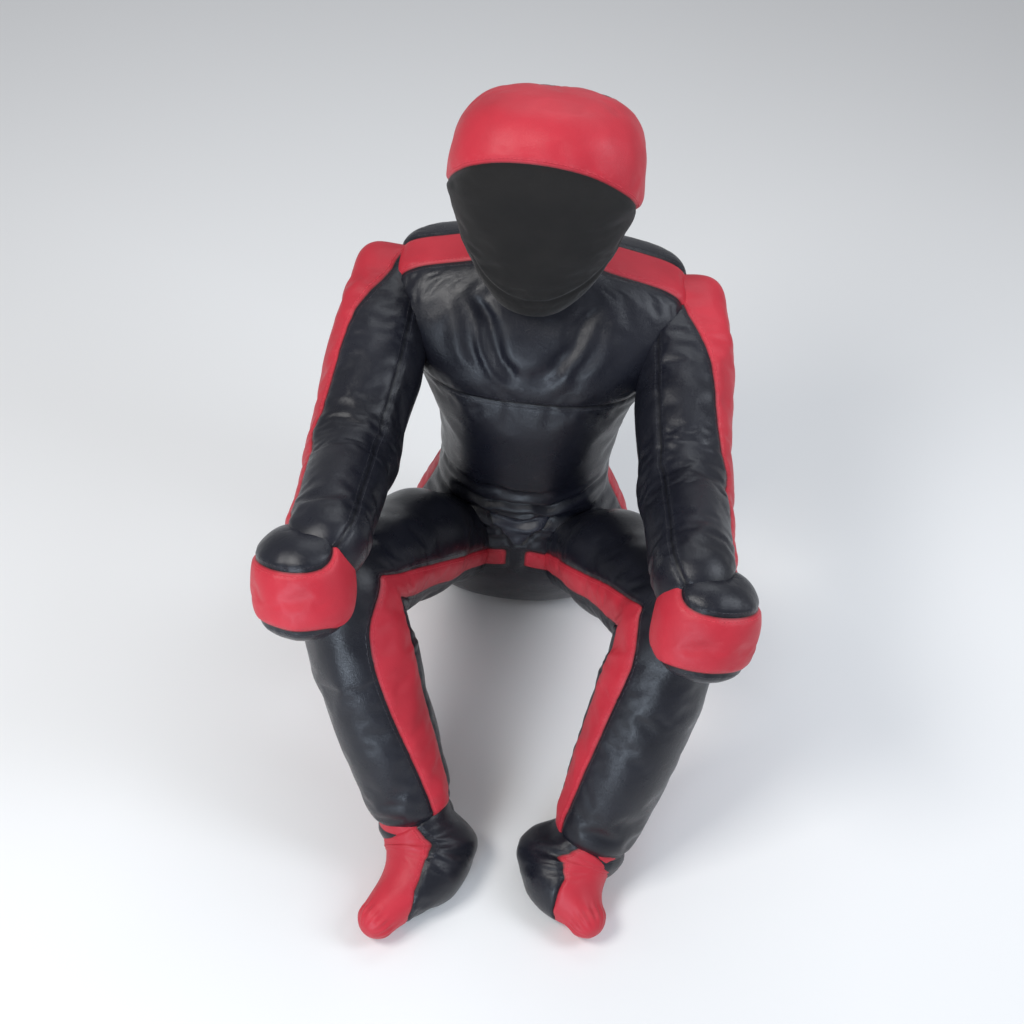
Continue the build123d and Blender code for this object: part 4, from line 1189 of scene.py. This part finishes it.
    # belly triangle
    f_tri = np.maximum(np.abs(X) - (Z - 0.196) * 0.95, Z - (0.246 + 3.0 * X ** 2))
    f_tri = np.where((Y < 0.03) & (ax < 0.09), f_tri, 0.2)
    me = grid_mesh("torso", P, (0, 0.060, 0.0008), (0, 0.070, 0.676))
    along = Z + X
    for nm, g, e0, e1 in (("f_side", f_side, -0.03, 0.01), ("f_yoke", f_yoke, -0.4, 0.2), ("f_cr", f_cr, 0.05, 0.4), ("f_hip", f_hip, 0.2, 0.3), ("f_str", f_str, 0.5, 0.1), ("f_tri", f_tri, 0.2, 0.4), ("along", along, 0, 0.6)):
        add_float(me, nm, with_poles(g, e0, e1))
    seams = ["f_side", "f_yoke", "f_cr", "f_hip", "f_str", "f_tri"]
    inside = get_float(me, "f_hip") < 0.001
    near = np.min(np.stack([np.abs(get_float(me, n_)) + (0.1 * inside if n_ == "f_side" else 0) for n_ in seams]), 0)
    co = coords(me)
    pin = 0.7 * np.exp(-((near / 0.007) ** 2))
    pin = np.maximum(pin, 1 - smoothstep(0.002, 0.02, co[:, 2]))
    pin = np.maximum(pin, smoothstep(0.62, 0.64, co[:, 2]))
    pin = np.maximum(pin, 0.85 * (1 - smoothstep(0.0, 0.010, get_float(me, "f_tri"))))
    stuffed(me, pin, pressure=2.4, cap=0.006)
    me = subdivide(me)
    me = cut(me, ["f_side", "f_yoke", "f_cr", "f_hip", "f_str", "f_tri"])
    g = {n_: face_mean(me, get_float(me, n_)) for n_ in seams}
    side_f = get_float(me, "f_side")
    add_float(me, "f_side", np.where(get_float(me, "f_hip") < 0.0004, 0.1, side_f))
    finish_surface(me, seams, "along", grain_seed=1.5)
    co = coords(me)
    co[:, 2] = np.maximum(co[:, 2], 0.0004)
    set_coords(me, co)
    xm = face_mean(me, co[:, 0]); zm = face_mean(me, co[:, 2])
    sidename = np.where(xm < 0, "right", "left")
    lab = np.where(g["f_side"] > 0, "back", np.where(g["f_yoke"] > 0, "yoke", np.where(g["f_tri"] < 0, "belly_triangle", "belly")))
    lab = np.where(g["f_hip"] < 0, np.char.add("side_strip_", sidename), lab)
    lab = np.where(g["f_cr"] < 0, np.char.add("crotch_stripe_", sidename), lab)
    lab = np.where(g["f_str"] < 0, np.char.add("shoulder_", sidename), lab)
    got = pieces_from(me, lab)
    red = ("side_strip", "crotch_stripe", "shoulder_")
    rep = {"back": ["back_panel", "chest_stuffing", "pelvis_stuffing"], "yoke": ["chest_yoke"], "belly": ["belly_panel", "seat_cover", "crotch_band", "hip_panel_right", "hip_panel_left"],
           "shoulder_right": ["shoulder_strap_right"], "shoulder_left": ["shoulder_strap_left"]}
    for name, m2 in got.items():
        # the belly triangle takes the leather whose paler bluish base colour is painted sheen
        o = make_piece(m2, f"torso_{name}", "red_leather" if name.startswith(red) else "black_leather", BELLY_PAINTED_SHEEN if name == "belly_triangle" else None)
        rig.padded(o, fill=0.8)
        if name.startswith(("yoke", "shoulder")):
            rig.ride(o, "chest")
        elif name.startswith("crotch"):
            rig.ride(o, "pelvis")
        else:
            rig.blend(o, "pelvis", "chest", start=(0, float(waist[1]), float(waist[2]) - 0.055), end=(0, float(waist[1]), float(waist[2]) + 0.055))
        if name in rep:
            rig.replaces(o, *rep[name])


# --------------------------------------------------------------------------
# Neck and head
# --------------------------------------------------------------------------
def head():
    base = at("neck_nod")
    a = hinge("head_turn")
    if a[2] < 0:
        a = -a
    lo, hi = (np.array(v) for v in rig.box("head_stuffing"))
    top = hi[2] + 0.001
    R0 = (hi[0] - lo[0]) / 2 + 0.0015
    # neck: a soft tube over the neck's own ball
    nlo, nhi = (np.array(v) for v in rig.box("neck_stuffing"))
    e1 = np.array([1.0, 0, 0]); e2 = np.cross(a, e1)
    m = 56
    th = np.linspace(0, 2 * math.pi, m, endpoint=False)
    ts = np.linspace(-0.046, 0.088, 22)
    rr = np.interp(ts, [-0.046, -0.036, -0.015, 0.02, 0.05, 0.088], [0.014, 0.034, 0.050, 0.052, 0.050, 0.048])
    D = e1[None] * np.cos(th)[:, None] + e2[None] * np.sin(th)[:, None]
    P = base + a * ts[:, None, None] + D[None] * rr[:, None, None]
    TT = np.broadcast_to(ts[:, None], P.shape[:2])
    P = P + D[None] * (0.0015 * ridged(np.stack([TT * 2, np.broadcast_to(np.cos(th) * 0.03, TT.shape), np.broadcast_to(np.sin(th) * 0.03, TT.shape)], -1).reshape(-1, 3), 30.0).reshape(TT.shape))[..., None]
    me = grid_mesh("neck", P, base - a * 0.050, base + a * 0.090)
    add_float(me, "along", with_poles(TT, 0, 0))
    me = subdivide(me)
    add_float(me, "sd", np.full(len(me.vertices), 0.1))
    o = make_piece(me, "neck_skin", "black_leather")
    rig.padded(o, fill=0.8)
    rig.ride(o, "neck")
    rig.replaces(o, "neck_stuffing")

    # head: a wide boxy crown narrowing to a pointed chin that hangs over the collar
    crown = base + np.array([-0.006, -0.028, 0.164])
    chin = base + np.array([-0.009, -0.090, 0.006])
    ah = unit(crown - chin)
    fwd = unit(np.cross(ah, [1.0, 0, 0]))
    if fwd[1] > 0:
        fwd = -fwd
    drop_len = np.linalg.norm(crown - chin)
    rise = 0.124
    m = 100
    lat = np.linspace(0, 1, 96 + 2)[1:-1]
    lat = 0.5 - 0.5 * np.cos(math.pi * lat)
    h = -drop_len + (drop_len + rise) * lat
    H, T = np.meshgrid(h, np.linspace(0, 2 * math.pi, m, endpoint=False), indexing="ij")
    up = np.clip(H / rise, 0, 1)
    down = np.clip(-H / drop_len, 0, 1)
    c, s_ = np.cos(T), np.sin(T)  # s_ > 0 is the face side
    q = 2.0 + 0.35 * (1 - down)
    k = (np.abs(c) ** q + np.abs(s_) ** q) ** (-1 / q)
    ring = np.where(H > 0, np.maximum(1 - up ** 3.3, 0) ** (1 / 3.0), np.maximum(1 - down ** 3.0, 0) ** 0.34 * (1 - 0.43 * down))
    depth = np.where(s_ > 0, 0.112, 0.117 - 0.016 * down)
    P = crown + ah * H[..., None] + e1 * (0.1265 * ring * k * c)[..., None] + fwd * (depth * ring * k * s_)[..., None]
    nrm = e1 * c[..., None] + fwd * s_[..., None]
    nrm = nrm * (1 - up[..., None] ** 3) + ah * up[..., None] ** 3
    pts = P.reshape(-1, 3)
    move = 0.0036 * nz(pts, 12.0, 8.0) + 0.0016 * nz(pts, 30.0, 1.0)
    move += -0.0020 * np.clip(ridged(pts * np.array([0.6, 0.6, 1.6]), 15.0, 4.0), 0, 1) * smoothstep(0.25, 0.9, down.reshape(-1))
    P = P + nrm * move.reshape(H.shape)[..., None]
    P[..., 2] = np.minimum(P[..., 2], top)
    me = grid_mesh("head", P[:, ::-1], chin + ah * 0.0005, crown + ah * (rise - 0.0002))
    co = coords(me)
    tilt = math.radians(65.0)
    nf = fwd * math.cos(tilt) - ah * math.sin(tilt)
    nb = np.array([0, math.cos(math.radians(42)), -math.sin(math.radians(42))])
    rel = co - crown
    f_face = rel @ nf - 0.014 * (rel[:, 0] / 0.127) ** 2 - 0.050 * rel[:, 0] - 0.001
    f_crown = rel @ nb
    add_float(me, "f_face", f_face); add_float(me, "f_crown", f_crown)
    add_float(me, "along", co[:, 0] + co[:, 2] * 0.6)
    near = np.minimum(np.abs(f_face), np.abs(f_crown))
    pin = 0.75 * np.exp(-((near / 0.007) ** 2))
    stuffed(me, pin, pressure=2.4, cap=0.005)
    me = subdivide(me)
    me = cut(me, ["f_face", "f_crown"])
    finish_surface(me, ["f_face", "f_crown"], "along", groove=0.0026, pucker=0.0014, grain_seed=2.5)
    ff, fc = face_mean(me, get_float(me, "f_face")), face_mean(me, get_float(me, "f_crown"))
    got = pieces_from(me, np.where(ff > 0, "face", np.where(fc > 0, "crown", "gusset")))
    rep = {"face": ("matte_black", ["face_panel"]), "crown": ("black_leather", ["crown_panel"]), "gusset": ("red_leather", ["head_gusset", "head_stuffing"])}
    for lab, m2 in got.items():
        o = make_piece(m2, f"head_{lab}_skin", rep[lab][0])
        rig.padded(o, fill=0.9)
        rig.ride(o, "head")
        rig.replaces(o, *rep[lab][1])


for side, sx in SIDES:
    leg(side, sx)
    arm(side, sx)
    hand(side, sx)
    foot(side, sx)
torso()
head()

# --------------------------------------------------------------------------
# Stage, light and camera
# --------------------------------------------------------------------------
bm = bmesh.new()
R_, seg = 6.0, 48
bmesh.ops.create_grid(bm, x_segments=2, y_segments=2, size=R_)
fm = bpy.data.meshes.new("floor")
bm.to_mesh(fm); bm.free()
floor = link(fm, "floor")
floor.location.z = -0.0004
mat, nt, N, L = nodes_of("floor")
o_ = N.new("ShaderNodeOutputMaterial"); b_ = N.new("ShaderNodeBsdfPrincipled")
L.new(b_.outputs["BSDF"], o_.inputs["Surface"])
b_.inputs["Base Color"].default_value = (0.82, 0.82, 0.815, 1)
b_.inputs["Roughness"].default_value = 0.75
fm.materials.append(mat)
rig.stage(floor)

world = bpy.data.worlds.new("studio")
bpy.context.scene.world = world
world.use_nodes = True
world.node_tree.nodes["Background"].inputs["Color"].default_value = (0.93, 0.95, 1.0, 1)
world.node_tree.nodes["Background"].inputs["Strength"].default_value = 0.42
bpy.context.scene.view_settings.view_transform = "Standard"


def area(name, loc, target, size, power, colour=(1, 1, 1)):
    li = bpy.data.lights.new(name, "AREA")
    li.shape = "RECTANGLE"; li.size, li.size_y = size
    li.energy = power
    li.color = colour
    o = bpy.data.objects.new(name, li)
    bpy.context.scene.collection.objects.link(o)
    o.location = loc
    o.rotation_euler = (Vector(target) - Vector(loc)).to_track_quat("-Z", "Y").to_euler()
    return o


area("key", (-1.25, -1.15, 2.35), (0, -0.15, 0.3), (0.9, 0.7), 34, (1.0, 0.985, 0.96))
area("window", (1.55, -0.5, 1.75), (0, -0.2, 0.35), (0.7, 1.3), 18, (0.86, 0.92, 1.0))
area("front", (-0.68, -2.35, 0.66), (0, -0.42, 0.22), (0.60, 0.45), 20, (0.74, 0.86, 1.0))
area("top", (0.15, 0.9, 2.2), (0, -0.1, 0.3), (1.5, 0.9), 11, (0.90, 0.95, 1.0))

# camera at the viewing angle: front, from above, rolled a little
elev, azim, roll = math.radians(46.8), math.radians(1.15), math.radians(4.9)
look = np.array([-0.010, -0.120, 0.337])
back_ = np.array([math.sin(azim) * math.cos(elev), -math.cos(azim) * math.cos(elev), math.sin(elev)])
C_ = look + back_ * 2.128
fw = -back_
r_ = unit(np.cross(fw, [0, 0, 1])); u_ = np.cross(r_, fw)
r2 = r_ * math.cos(roll) + u_ * math.sin(roll)
u2 = u_ * math.cos(roll) - r_ * math.sin(roll)
cam = bpy.data.cameras.new("camera")
cam.sensor_width = 36.0
cam.lens = 1489.0 / 1024.0 * 36.0
co_ = bpy.data.objects.new("camera", cam)
bpy.context.scene.collection.objects.link(co_)
co_.matrix_world = Matrix(((r2[0], u2[0], -fw[0], C_[0]), (r2[1], u2[1], -fw[1], C_[1]), (r2[2], u2[2], -fw[2], C_[2]), (0, 0, 0, 1)))
bpy.context.scene.camera = co_

VIS_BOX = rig.bounds()
json.dump({"cad": [[float(x) for x in v] for v in CAD_BOX], "visual": [[float(x) for x in v] for v in VIS_BOX]}, open("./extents.json", "w"))
